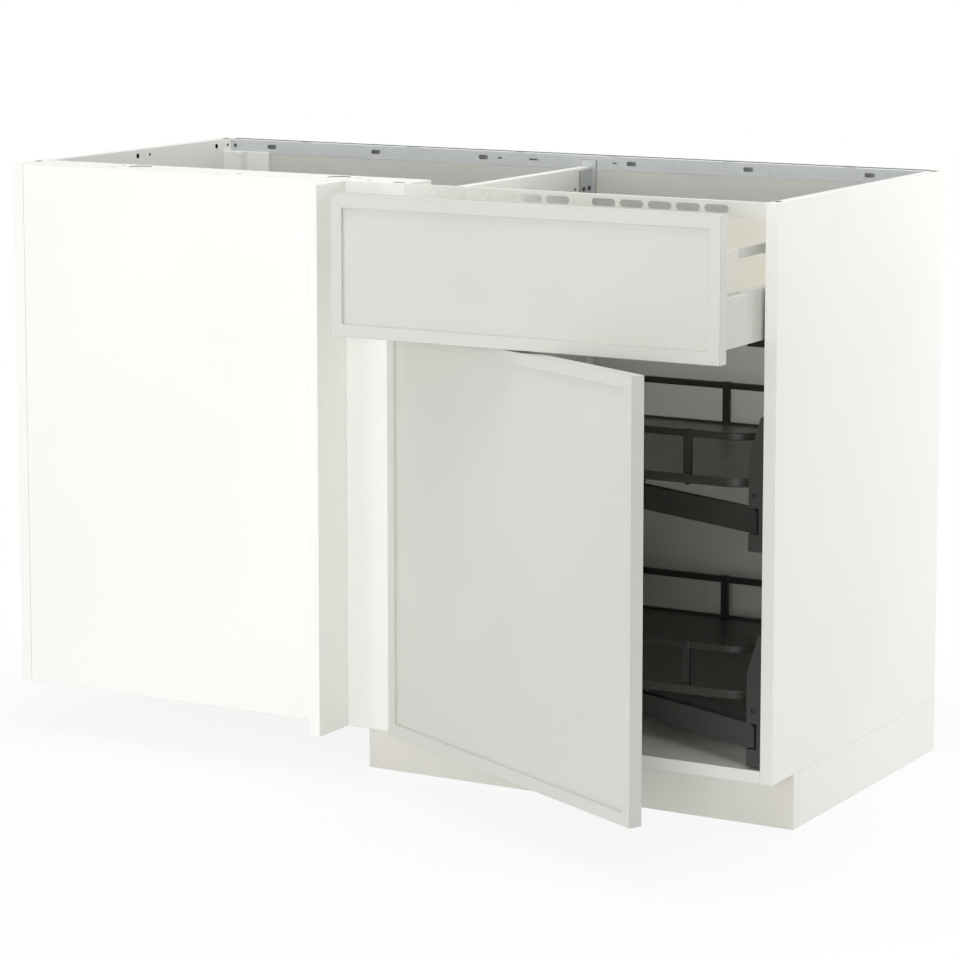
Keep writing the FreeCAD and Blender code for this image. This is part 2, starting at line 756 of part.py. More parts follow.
def runners():
    """Telescopic runners inside the drawer's hollow sides: each a fixed ledge with an upright and a front
    stop, a middle channel, and a tongue on the side's inner wall."""
    fixed = []
    middles = []
    tongues = []
    gauge = "runner_gauge"
    top = "runner_base + runner_height"
    fixed_y = ("runner_front", "runner_front + runner_length")
    middle_y = ("runner_front - drawer_out / 2", "runner_front - drawer_out / 2 + runner_length")
    tongue_y = ("runner_front - drawer_out", "drawer_rear")
    middle_low = "drawer_base + runner_lift"
    middle_high = f"{top} - {gauge} - runner_play"
    tongue_z = (f"{middle_low} + {gauge} + runner_play", f"{middle_high} - {gauge} - runner_play")
    for face, side in (("divider_right", 1), ("right_inner", -1)):
        web = box(beside(face, side, "0", gauge), fixed_y, ("runner_base", top))
        ledge_z = ("runner_base", f"runner_base + {gauge}")
        ledge = box(beside(face, side, "0", "runner_ledge"), fixed_y, ledge_z)
        upright_x = beside(face, side, "upright_in", f"upright_in + {gauge}")
        upright = box(upright_x, fixed_y, ("runner_base", top))
        lid = box(beside(face, side, "upright_in", "middle_out"), fixed_y, (f"{top} - {gauge}", top))
        stop_y = ("runner_front", "runner_front + runner_stop_length")
        stop_z = ("runner_base", "drawer_base - runner_play")
        stop = box(beside(face, side, "0", "runner_ledge"), stop_y, stop_z)
        fixed.append(join(web, ledge, upright, lid, stop))
        web_x = beside(face, side, "middle_in", f"middle_in + {gauge}")
        flange_x = beside(face, side, "middle_in", "middle_out")
        middles.append(join(
            box(web_x, middle_y, (middle_low, middle_high)),
            box(flange_x, middle_y, (middle_low, f"{middle_low} + {gauge}")),
            box(flange_x, middle_y, (f"{middle_high} - {gauge}", middle_high)),
        ))
        tongues.append(box(beside(face, side, "tongue_in", "tongue_out"), tongue_y, tongue_z))
    node("runner_ledges", group(*fixed))
    node("runner_middles", group(*middles))
    node("runner_tongues", group(*tongues))


# swing-out trays

# The corners of the tray's outline seen from above, in order: its place and the radius that rounds it.
TRAY_CORNERS = {
    "front_right": ("tray_right", "tray_front", "tray_front_corner"),
    "back_right": ("tray_right", "tray_back", "tray_back_corner"),
    "back_left": ("tray_left", "tray_back", "tray_lobe_corner"),
    "lobe_left": ("tray_left", "tray_lobe_front", "tray_lobe_corner"),
    "shoulder": ("tray_lobe_end", "tray_lobe_front", "tray_shoulder_corner"),
    "waist": ("tray_waist_x", "tray_waist_y", "tray_waist_corner"),
    "nose": ("tray_nose_x", "tray_front", "tray_nose_corner"),
}


def tray_corners():
    return [tuple(value(name) for name in corner) for corner in TRAY_CORNERS.values()]


def spot(x, y, z=0.0):
    """A point counted from the cabinet's middle."""
    return FreeCAD.Vector(x - value("mid_x"), y - value("mid_y"), z)


def outline(inset):
    """The tray's outline as straight runs and tangent arcs, drawn in by an even inset."""
    corners = tray_corners()
    arcs = []
    for number, (x, y, radius) in enumerate(corners):
        here = spot(x, y)
        before = (spot(*corners[number - 1][:2]) - here).normalize()
        after = (spot(*corners[(number + 1) % len(corners)][:2]) - here).normalize()
        half_angle = before.getAngle(after) / 2
        tangent = radius / math.tan(half_angle)
        centre = here + (before + after).normalize() * (radius / math.sin(half_angle))
        start = here + before * tangent
        end = here + after * tangent
        middle = centre + (here - centre).normalize() * radius
        arcs.append((start, middle, end))
    edges = []
    for number, (start, middle, end) in enumerate(arcs):
        edges.append(Part.Arc(start, middle, end).toShape())
        edges.append(Part.LineSegment(end, arcs[(number + 1) % len(arcs)][0]).toShape())
    wire = Part.Wire(edges)
    return wire.makeOffset2D(-inset) if inset else wire


def slab(wire, low, high):
    face = Part.Face(wire)
    face.translate(FreeCAD.Vector(0, 0, low))
    return face.extrude(FreeCAD.Vector(0, 0, high - low))


def feature(label, shape):
    thing = doc.addObject("Part::Feature", "Shaped")
    thing.Shape = shape
    return node(label, thing)


# Posts under the tray rail: the corner that their side of the outline starts from, and the share along it.
POSTS = (
    ("front_right", 0.5),
    ("back_right", 0.27),
    ("back_right", 0.5),
    ("back_right", 0.75),
    ("back_left", 0.5),
    ("lobe_left", 0.6),
    ("waist", 0.5),
    ("nose", 0.5),
)


def tray_posts(low, high):
    """Flat posts that stand along the tray's edge, each turned to follow it."""
    corners = tray_corners()
    inset = value("tray_rail_inset")
    posts = []
    for corner, share in POSTS:
        side = list(TRAY_CORNERS).index(corner)
        start = spot(*corners[side][:2])
        end = spot(*corners[(side + 1) % len(corners)][:2])
        along = (end - start).normalize()
        block = Part.makeBox(value("tray_post_width"), value("tray_rail_width"), high - low)
        block.translate(FreeCAD.Vector(-value("tray_post_width") / 2, inset, low))
        block.rotate(FreeCAD.Vector(), FreeCAD.Vector(0, 0, 1), math.degrees(math.atan2(along.y, along.x)))
        block.translate(start + (end - start) * share)
        posts.append(block)
    return Part.makeCompound(posts)


def tray(level, lift):
    """One tray with its railing and the two pivots under it. Lift is its height over the lower tray."""
    low = value("tray_base_z") + lift
    floor = low + value("tray_thick") - value("tray_rim_height")
    top = low + value("tray_thick")
    rail_low = top + value("tray_rail_lift")
    plate = slab(outline(0), low, top)
    feature(f"{level}_tray", plate.cut(slab(outline(value("tray_rim")), floor, top)))
    inset = value("tray_rail_inset")
    bar = slab(outline(inset), rail_low, rail_low + value("tray_rail_height"))
    inside = slab(outline(inset + value("tray_rail_width")), rail_low, rail_low + value("tray_rail_height"))
    feature(f"{level}_tray_rail", bar.cut(inside))
    feature(f"{level}_tray_posts", tray_posts(floor, rail_low))


def on_arm(thing, y):
    """Place a piece that was built from an arm's pivot, turned with the stowed arm."""
    thing.Placement = FreeCAD.Placement(FreeCAD.Vector(), ARM_TURN)
    bind(thing, "Placement.Rotation.Angle", "arm_angle")
    return put(thing, "pivot_x", y, "0")


def swing_arms(level, lift):
    """The two parallel arms of one tray, their brackets on the side panel and the pins between."""
    base = f"tray_base_z + {lift}"
    arm_z = (f"{base} - arm_drop - arm_height", f"{base} - arm_drop")
    bracket_low = f"floor_top + arm_bracket_lift + {lift}"
    bracket_high = f"{bracket_low} + arm_bracket_height"
    brackets = []
    bracket_pins = []
    tray_pins = []
    for name, offset in (("front", "0"), ("rear", "arm_spacing")):
        y = f"arm_pivot_setback + {offset}"
        flat = around("0", "arm_thick / 2")
        corner_x = "arm_tail_round - arm_tail"
        corner_z = f"{arm_z[1]} - arm_tail_round"
        bar = join(
            box((corner_x, "arm_length"), flat, arm_z, True),
            box(("-arm_tail", corner_x), flat, (arm_z[0], corner_z), True),
            rod("y", (corner_x, corner_z), flat, "arm_tail_round", True),
        )
        eye = rod("z", ("arm_length", "0"), arm_z, "arm_end_radius", True)
        bore_radius = "arm_pin_radius + running_clearance"
        bores = [rod("z", (x, "0"), arm_z, bore_radius, True) for x in ("0", "arm_length")]
        node(f"{level}_{name}_arm", on_arm(cut(join(bar, eye), *bores), y))
        body_x = ("right_inner - arm_bracket_width", "right_inner")
        body_y = (f"{y} - arm_bracket_ahead", f"{y} - arm_bracket_ahead + arm_bracket_depth")
        body = box(body_x, body_y, (bracket_low, f"{bracket_high} - arm_bracket_bevel_height"))
        crown = doc.addObject("Part::Wedge", "Crown")
        crown.Placement = FreeCAD.Placement(FreeCAD.Vector(), UPRIGHT)
        for prop, formula in (
            ("Xmin", "0"), ("Xmax", "arm_bracket_width"), ("X2min", "arm_bracket_bevel"),
            ("X2max", "arm_bracket_width"), ("Ymin", "0"), ("Ymax", "arm_bracket_bevel_height"),
            ("Zmin", "0"), ("Zmax", "arm_bracket_depth"), ("Z2min", "0"), ("Z2max", "arm_bracket_depth"),
        ):
            bind(crown, prop, formula)
        put(crown, body_x[0], body_y[1], f"{bracket_high} - arm_bracket_bevel_height")
        mouth_x = (body_x[0], "right_inner - arm_bracket_wall")
        mouth_z = (f"{arm_z[0]} - arm_slot_play", f"{arm_z[1]} + arm_slot_play")
        mouth = box(mouth_x, body_y, mouth_z)
        pin_z = (f"{arm_z[0]} - arm_pin_reach", f"{arm_z[1]} + arm_pin_reach")
        bore = rod("z", ("pivot_x", y), pin_z, "arm_pin_radius")
        brackets.append(cut(join(body, crown), mouth, bore))
        bracket_pins.append(rod("z", ("pivot_x", y), pin_z, "arm_pin_radius"))
        at = ("tray_pivot_x", f"tray_pivot_y + {offset}")
        boss = rod("z", at, (f"{arm_z[1]} + arm_slot_play", base), "tray_boss_radius")
        pin = rod("z", at, (arm_z[0], f"{arm_z[1]} + arm_slot_play"), "arm_pin_radius")
        tray_pins.append(join(boss, pin))
    node(f"{level}_tray_brackets", group(*brackets))
    node(f"{level}_bracket_pins", group(*bracket_pins))
    node(f"{level}_tray_pivots", group(*tray_pins))


def write_parts():
    """Stop on any failed object, then write each node's shape."""
    doc.recompute()
    for thing in doc.Objects:
        if "Invalid" in thing.State or "Error" in thing.State:
            raise RuntimeError(f"{thing.Label} failed: {thing.State}")
    for thing in nodes:
        if thing.Shape.isNull() or not thing.Shape.isValid() or not thing.Shape.Solids:
            raise RuntimeError(f"{thing.Label} has no valid solid")
    os.makedirs("parts", exist_ok=True)
    for thing in nodes:
        thing.Shape.exportStep(f"parts/{thing.Label}.step")


side_panels()
carcass_boards()
top_board()
front_rail()
rear_rail()
divider_bracket()
screws()
plinth()
legs()
door()
hinge_arms()
drawer()
runners()
tray("lower", 0)
tray("upper", value("tray_spacing"))
swing_arms("lower", "0")
swing_arms("upper", "tray_spacing")
write_parts()
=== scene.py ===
import json
import math

import bmesh
import bpy
from mathutils import Color, Matrix, Vector

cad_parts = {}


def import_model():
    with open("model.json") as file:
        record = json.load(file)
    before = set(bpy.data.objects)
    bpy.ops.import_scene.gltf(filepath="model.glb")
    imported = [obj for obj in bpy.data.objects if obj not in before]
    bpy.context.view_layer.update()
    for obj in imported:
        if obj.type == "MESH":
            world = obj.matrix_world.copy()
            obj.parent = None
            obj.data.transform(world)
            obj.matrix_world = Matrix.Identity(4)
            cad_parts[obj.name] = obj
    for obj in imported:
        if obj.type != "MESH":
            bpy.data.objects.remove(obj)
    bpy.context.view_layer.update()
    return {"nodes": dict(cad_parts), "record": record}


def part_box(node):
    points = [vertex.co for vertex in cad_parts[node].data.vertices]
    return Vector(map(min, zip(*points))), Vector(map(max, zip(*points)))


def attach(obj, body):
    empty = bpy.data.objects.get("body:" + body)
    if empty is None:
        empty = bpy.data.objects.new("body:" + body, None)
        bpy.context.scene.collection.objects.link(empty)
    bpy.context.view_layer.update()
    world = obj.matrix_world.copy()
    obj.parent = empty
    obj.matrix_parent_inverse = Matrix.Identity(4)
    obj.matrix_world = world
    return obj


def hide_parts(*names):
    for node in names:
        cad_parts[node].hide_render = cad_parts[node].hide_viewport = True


# Corner base cabinet: a white carcass over a blind corner, a drawer part open over a door part open,
# and behind the door two anthracite trays on swing arms. Metres, +X right, +Y to the wall, +Z up.

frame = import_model()
record = frame["record"]

MM = 0.001
BODY_OF = {node: body for body, nodes in record["behaviour"]["bodies"].items() for node in nodes}
JOINTS = {joint["name"]: joint for joint in record["behaviour"]["joints"]}
LEVELS = ("lower", "upper")

# Points nearer than this are one point, and faces that turn less than this are one flat side.
MERGE = 0.001 * MM
FLAT = math.radians(0.5)
# Edges that turn more than these are shaded crisp, and rounded off.
CREASE = math.radians(46)
EASED_FROM = math.radians(30)
# A drilled wall is a small face that lies at least this far inside its board; it gets a dark colour painted
# on as its shade.
BORE_FACE = 75 * MM * MM
BORE_SUNK = 0.3 * MM
# The least share of a normal along the way that a side faces, and the most of an upright one along Z.
SQUARELY = 0.99
UPRIGHT = 0.1

RIGHT = Vector((1, 0, 0))
LEFT = Vector((-1, 0, 0))
BACK = Vector((0, 1, 0))
FRONT = Vector((0, -1, 0))
UP = Vector((0, 0, 1))
DOWN = Vector((0, 0, -1))
WAYS = {"+X": RIGHT, "-X": LEFT, "+Y": BACK, "+Z": UP, "-Z": DOWN}


# finishes

def seen(red, green, blue):
    """A colour as it looks, 0 to 255 a channel, in the linear numbers that a shader takes."""
    linear = Color((red / 255, green / 255, blue / 255)).from_srgb_to_scene_linear()
    return (*linear, 1.0)


class Finish:
    """One shader, with patterns on Object coordinates for its colour, its gloss and its relief."""

    def __init__(self, name, colour, roughness, metallic=0.0, specular=0.5):
        self.material = bpy.data.materials.new(name)
        self.material.use_nodes = True
        self.tree = self.material.node_tree
        self.shader = self.tree.nodes["Principled BSDF"]
        self.shader.inputs["Base Color"].default_value = colour
        self.shader.inputs["Roughness"].default_value = roughness
        self.shader.inputs["Metallic"].default_value = metallic
        self.shader.inputs["Specular IOR Level"].default_value = specular
        self.base = colour
        self.tinted = None
        self.raised = None
        self.place = self.add("TexCoord").outputs["Object"]

    def add(self, kind, **settings):
        made = self.tree.nodes.new("ShaderNode" + kind)
        for name, setting in settings.items():
            setattr(made, name, setting)
        return made

    def link(self, source, target):
        self.tree.links.new(source, target)

    def drawn_out(self, stretch):
        """The coordinates with a pattern drawn out along an axis by that many times."""
        mapping = self.add("Mapping")
        mapping.inputs["Scale"].default_value = [1 / times for times in stretch]
        self.link(self.place, mapping.inputs["Vector"])
        return mapping.outputs["Vector"]

    def clouds(self, size, detail=2.0, stretch=(1, 1, 1)):
        """Soft spots about one size across."""
        noise = self.add("TexNoise")
        noise.inputs["Scale"].default_value = 1 / size
        noise.inputs["Detail"].default_value = detail
        self.link(self.drawn_out(stretch), noise.inputs["Vector"])
        return noise.outputs["Fac"]

    def chips(self, size, stretch=(1, 1, 1)):
        """Angular cells about one size across, each of one random tone."""
        cells = self.add("TexVoronoi")
        cells.inputs["Scale"].default_value = 1 / size
        self.link(self.drawn_out(stretch), cells.inputs["Vector"])
        return cells.outputs["Color"]

    def spread(self, pattern, low, high, from_low=0.35, from_high=0.65):
        """A pattern's middle range spread between two numbers."""
        reach = self.add("MapRange")
        for name, number in (
            ("From Min", from_low), ("From Max", from_high), ("To Min", low), ("To Max", high),
        ):
            reach.inputs[name].default_value = number
        self.link(pattern, reach.inputs["Value"])
        return reach.outputs["Result"]

    def tint(self, pattern, colour, share=0.8, low=0.35, high=0.65):
        """Another colour shows, up to a share, where a pattern is high."""
        mix = self.add("Mix", data_type="RGBA")
        sockets = {socket.identifier: socket for socket in mix.inputs}
        self.link(self.spread(pattern, 0.0, share, low, high), sockets["Factor_Float"])
        if self.tinted:
            self.link(self.tinted, sockets["A_Color"])
        else:
            sockets["A_Color"].default_value = self.base
        sockets["B_Color"].default_value = colour
        self.tinted = next(socket for socket in mix.outputs if socket.identifier == "Result_Color")
        self.link(self.tinted, self.shader.inputs["Base Color"])
        return self

    def gloss(self, pattern, low, high):
        """The roughness wanders between two numbers."""
        self.link(self.spread(pattern, low, high), self.shader.inputs["Roughness"])
        return self

    def relief(self, pattern, depth, strength):
        """The surface rises where a pattern is high."""
        bump = self.add("Bump")
        bump.inputs["Distance"].default_value = depth
        bump.inputs["Strength"].default_value = strength
        self.link(pattern, bump.inputs["Height"])
        if self.raised:
            self.link(self.raised, bump.inputs["Normal"])
        self.raised = bump.outputs["Normal"]
        self.link(self.raised, self.shader.inputs["Normal"])
        return self


def melamine(name, colour, cloud):
    """Satin foil pressed on chipboard, with a fine pearl and faint clouding."""
    finish = Finish(name, colour, 0.42, specular=0.35)
    finish.tint(finish.clouds(0.35, 3.0), cloud)
    finish.gloss(finish.clouds(0.08, 4.0), 0.36, 0.48)
    finish.relief(finish.clouds(0.9 * MM, 1.0), 0.012 * MM, 0.6)
    return finish.material


def raw_chipboard():
    finish = Finish("raw_chipboard", seen(198, 172, 134), 0.85, specular=0.2)
    finish.tint(finish.chips(2.2 * MM, (2.5, 2.5, 1)), seen(160, 126, 86), low=0.2, high=0.9)
    finish.tint(finish.clouds(1.1 * MM, 3.0), seen(224, 204, 168), 0.6, low=0.5, high=0.7)
    finish.relief(finish.chips(1.8 * MM, (2.5, 2.5, 1)), 0.25 * MM, 0.5)
    return finish.material


def brown_hardboard():
    """The unprinted rear of the back panels, with the mesh of the press in it."""
    finish = Finish("brown_hardboard", seen(150, 112, 76), 0.8, specular=0.2)
    finish.tint(finish.clouds(6 * MM, 6.0), seen(118, 84, 54))
    finish.tint(finish.clouds(1.2 * MM, 2.0, (1, 1, 4)), seen(178, 142, 102), 0.5)
    finish.relief(finish.chips(1.6 * MM), 0.18 * MM, 0.4)
    return finish.material


def galvanised(name, colour, spangle):
    """Zinc-dipped sheet: dull grey, with faint spangles."""
    finish = Finish(name, colour, 0.5, metallic=0.3)
    finish.tint(finish.chips(5 * MM), spangle, 0.6, low=0.2, high=0.9)
    finish.gloss(finish.chips(5 * MM), 0.46, 0.56)
    finish.relief(finish.clouds(1.5 * MM, 3.0), 0.01 * MM, 0.3)
    return finish.material


def powder_coat(name, colour, cloud, roughness):
    finish = Finish(name, colour, roughness, specular=0.45)
    finish.tint(finish.clouds(0.12, 3.0), cloud)
    finish.gloss(finish.clouds(15 * MM, 3.0), roughness - 0.05, roughness + 0.06)
    finish.relief(finish.clouds(1.1 * MM, 1.0), 0.03 * MM, 0.5)
    return finish.material


def zinc_plate(name, colour, cloud):
    finish = Finish(name, colour, 0.3, metallic=1.0)
    finish.tint(finish.clouds(6 * MM, 4.0), cloud)
    finish.gloss(finish.clouds(2.5 * MM, 3.0, (1, 1, 6)), 0.24, 0.4)
    finish.relief(finish.clouds(0.5 * MM, 2.0, (1, 1, 8)), 0.01 * MM, 0.5)
    return finish.material


def moulded_plastic(name, colour, cloud, roughness):
    """Injection-moulded, with a fine spark-eroded grain."""
    finish = Finish(name, colour, roughness, specular=0.4)
    finish.tint(finish.clouds(30 * MM, 3.0), cloud)
    finish.gloss(finish.clouds(5 * MM, 3.0), roughness - 0.06, roughness + 0.06)
    finish.relief(finish.clouds(0.45 * MM, 1.0), 0.03 * MM, 0.5)
    return finish.material


def tray_laminate():
    """Anthracite laminate with a fine emboss that runs along the tray."""
    finish = Finish("anthracite_laminate", seen(69, 66, 62), 0.36, specular=0.4)
    finish.tint(finish.clouds(5 * MM, 5.0, (12, 1, 1)), seen(66, 63, 59))
    finish.gloss(finish.clouds(3 * MM, 3.0, (10, 1, 1)), 0.32, 0.4)
    finish.relief(finish.clouds(0.8 * MM, 3.0, (14, 1, 1)), 0.012 * MM, 0.4)
    return finish.material


def bare_beech():
    finish = Finish("bare_beech", seen(206, 170, 120), 0.7, specular=0.25)
    finish.tint(finish.clouds(0.7 * MM, 3.0, (1, 1, 8)), seen(176, 136, 88))
    finish.relief(finish.clouds(0.5 * MM, 2.0, (1, 1, 8)), 0.05 * MM, 0.5)
    return finish.material


WHITE = melamine("white_melamine", seen(250, 250, 246), seen(247, 247, 242))
# Painted shade: a slightly darker white for the boards' eased edges, so that their joints read as lines of
# shade.
PAINTED_EDGE_SHADE = melamine("edge_line", seen(236, 236, 230), seen(232, 232, 226))
BACK_WHITE = melamine("back_print", seen(215, 215, 209), seen(211, 211, 205))
GREY_FOIL = melamine("grey_foil", seen(214, 215, 208), seen(210, 211, 204))
PLINTH_WHITE = melamine("plinth_white", seen(240, 239, 232), seen(236, 235, 228))
DRAWER_WHITE = melamine("drawer_white", seen(241, 239, 230), seen(237, 235, 225))
# Painted shade: a darker grey for the fronts' eased edges, standing for the line of shade along them.
PAINTED_FRONT_EDGE_SHADE = melamine("grey_foil_edge", seen(198, 199, 192), seen(194, 195, 188))
CHIPBOARD = raw_chipboard()
HARDBOARD = brown_hardboard()
GALVANISED = galvanised("galvanised_sheet", seen(204, 208, 208), seen(199, 203, 204))
# Painted light: a paler copy of the galvanised sheet for the wall rail's top, standing for the light that
# falls on it from above.
PAINTED_ZINC_LIGHT = galvanised("galvanised_flange", seen(236, 238, 238), seen(231, 234, 234))
# Painted shade: a near-black copy of the galvanised sheet, for the wall rail's lip and the divider bracket's
# edges.
PAINTED_ZINC_SHADE = galvanised("galvanised_hem", seen(84, 88, 89), seen(74, 78, 79))
WHITE_STEEL = powder_coat("white_powder_coat", seen(238, 238, 233), seen(233, 233, 227), 0.36)
SIDE_STEEL = powder_coat("drawer_side_coat", seen(212, 212, 205), seen(207, 207, 199), 0.4)
DARK_STEEL = powder_coat("anthracite_powder_coat", seen(53, 51, 48), seen(47, 45, 42), 0.44)
RUNNER_STEEL = powder_coat("black_runner_paint", seen(26, 26, 26), seen(21, 21, 21), 0.38)
WING_STEEL = powder_coat("gallery_wing_coat", seen(222, 220, 210), seen(217, 215, 204), 0.4)
GALLERY_STEEL = powder_coat("gallery_powder_coat", seen(204, 204, 198), seen(199, 199, 192), 0.4)
ARM_STEEL = powder_coat("arm_powder_coat", seen(60, 58, 56), seen(53, 51, 49), 0.42)
ZINC = zinc_plate("bright_zinc", seen(200, 201, 198), seen(172, 173, 170))
# Dark zinc; on the wall rail's rivets it is painted shade that stands for the inside of holes.
DARK_ZINC = zinc_plate("browned_zinc", seen(92, 92, 90), seen(74, 74, 72))
BEECH = bare_beech()
WHITE_PLASTIC = moulded_plastic("white_plastic", seen(240, 240, 235), seen(236, 236, 230), 0.4)
# Painted shade: near black for the walls of drilled holes and pockets, standing for the shade inside them.
PAINTED_BORE_SHADE = moulded_plastic("drilled_dark", seen(40, 38, 35), seen(30, 28, 26), 0.8)
BLACK_PLASTIC = moulded_plastic("black_plastic", seen(30, 30, 31), seen(24, 24, 25), 0.48)
CLEAR_RUBBER = moulded_plastic("clear_rubber", seen(205, 206, 202), seen(196, 197, 193), 0.3)
LAMINATE = tray_laminate()


# shaping

def piece_of(name, shape, finishes):
    """Make an object of a shape that is drawn in place."""
    mesh = bpy.data.meshes.new(name)
    shape.to_mesh(mesh)
    shape.free()
    for finish in finishes:
        mesh.materials.append(finish)
    piece = bpy.data.objects.new(name, mesh)
    bpy.context.scene.collection.objects.link(piece)
    return piece


def discard(*pieces):
    for piece in pieces:
        mesh = piece.data
        bpy.data.objects.remove(piece)
        bpy.data.meshes.remove(mesh)


def applied(piece):
    """Turn a piece's modifiers into plain mesh."""
    drawn = piece.data
    graph = bpy.context.evaluated_depsgraph_get()
    piece.data = bpy.data.meshes.new_from_object(piece.evaluated_get(graph))
    piece.modifiers.clear()
    bpy.data.meshes.remove(drawn)
    piece.data.name = piece.name
    return piece


def shaded(piece):
    """Smooth where a piece is round, crisp at its corners."""
    piece.data.shade_smooth()
    piece.data.set_sharp_from_angle(angle=CREASE)
    return piece


def settle(piece):
    """Apply a piece's modifiers and shade it, with its broad faces kept flat up to their eased edges."""
    shaded(applied(piece))
    level = piece.modifiers.new("flat_faces", "WEIGHTED_NORMAL")
    level.keep_sharp = True
    return applied(piece)


# The places of finishes on a dressed piece: its faces keep their own, its eased edges may get a darker line
# painted on as shade, and its drilled holes and pockets get painted shade.
OWN_FINISH = -1
LINE_FINISH = 1
BORE_SHADE_FINISH = 2


def ease(piece, width, segments=2, line=OWN_FINISH):
    """Round a piece's outer edges; line is the number of the finish that they get, a darker tone painted on
    as a line of shade where one is given.
    """
    shape = bmesh.new()
    shape.from_mesh(piece.data)
    weight = shape.edges.layers.float.new("bevel_weight_edge")
    for edge in shape.edges:
        if edge.is_manifold and edge.is_convex and edge.calc_face_angle() > EASED_FROM:
            edge[weight] = 1.0
    shape.to_mesh(piece.data)
    shape.free()
    bevel = piece.modifiers.new("eased", "BEVEL")
    bevel.width = width
    bevel.segments = segments
    bevel.limit_method = "WEIGHT"
    bevel.material = line
    return piece


def add_box(shape, low, high):
    middle = (Vector(low) + Vector(high)) / 2
    size = Vector(high) - Vector(low)
    place = Matrix.Translation(middle) @ Matrix.Diagonal((*size, 1))
    return bmesh.ops.create_cube(shape, size=1.0, matrix=place)["verts"]


def hollow(piece, boxes, number=0):
    """Cut box-shaped pockets out of a piece; number is the finish that their walls get."""
    shape = bmesh.new()
    for low, high in boxes:
        add_box(shape, low, high)
    for face in shape.faces:
        face.material_index = number
    cutter = piece_of(piece.name + "_cutter", shape, piece.data.materials)
    cut = piece.modifiers.new("pockets", "BOOLEAN")
    cut.object = cutter
    cut.solver = "EXACT"
    applied(piece)
    discard(cutter)
    return piece


def turned(outline, steps=24):
    """A closed shape turned about Z, from pairs of radius and height that start and end on the axis."""
    shape = bmesh.new()
    rings = []
    for radius, height in outline:
        count = steps if radius > MERGE else 1
        turns = [math.tau * step / steps for step in range(count)]
        rings.append([
            shape.verts.new((radius * math.cos(turn), radius * math.sin(turn), height)) for turn in turns
        ])
    for lower, upper in zip(rings, rings[1:]):
        for step in range(steps):
            after = (step + 1) % steps
            corners = (
                lower[step % len(lower)], lower[after % len(lower)],
                upper[after % len(upper)], upper[step % len(upper)],
            )
            shape.faces.new(list(dict.fromkeys(corners)))
    return shape


def drawn_along(outline, start, end, axis="y"):
    """A section drawn straight along Y or X. The outline's points are across and up."""
    def at(across, up, depth):
        return (across, depth, up) if axis == "y" else (depth, across, up)
    shape = bmesh.new()
    near = [shape.verts.new(at(across, up, start)) for across, up in outline]
    far = [shape.verts.new(at(across, up, end)) for across, up in outline]
    shape.faces.new(near)
    shape.faces.new(far)
    for number in range(len(outline)):
        after = (number + 1) % len(outline)
        shape.faces.new((near[number], near[after], far[after], far[number]))
    bmesh.ops.recalc_face_normals(shape, faces=shape.faces)
    return shape


def copy_of(node):
    """A node's own shape, merged, with its flat faces whole."""
    source = frame["nodes"][node].data
    mesh = bpy.data.meshes.new(node)
    mesh.from_pydata([v.co for v in source.vertices], [], [p.vertices[:] for p in source.polygons])
    shape = bmesh.new()
    shape.from_mesh(mesh)
    bpy.data.meshes.remove(mesh)
    bmesh.ops.remove_doubles(shape, verts=shape.verts, dist=MERGE)
    bmesh.ops.dissolve_limit(shape, angle_limit=FLAT, verts=shape.verts, edges=shape.edges)
    return shape


def solids_of(node):
    """The separate solids of a node: the low and high corner of each, and the way its broadest upright
    side faces."""
    shape = copy_of(node)
    left = set(shape.faces)
    found = []
    while left:
        island = []
        walk = [left.pop()]
        while walk:
            face = walk.pop()
            island.append(face)
            beside = {other for edge in face.edges for other in edge.link_faces} & left
            left -= beside
            walk.extend(beside)
        points = [vert.co for face in island for vert in face.verts]
        low = Vector([min(point[axis] for point in points) for axis in range(3)])
        high = Vector([max(point[axis] for point in points) for axis in range(3)])
        upright = [face for face in island if abs(face.normal.z) < UPRIGHT]
        # Of two sides as broad as each other, the one that faces more to the right counts, or else the rear.
        broad = max(upright, key=lambda face: (face.calc_area(), *face.normal)).normal.copy()
        found.append((low, high, broad))
    shape.free()
    return sorted(found, key=lambda solid: tuple(solid[0]))


def stand_for(piece, *nodes):
    """A piece takes the place of CAD nodes on their body."""
    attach(piece, BODY_OF[nodes[0]])
    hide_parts(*nodes)
    return piece


def fitted(piece, body):
    """A piece that no CAD node stands for rides on a body."""
    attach(piece, body)
    return piece


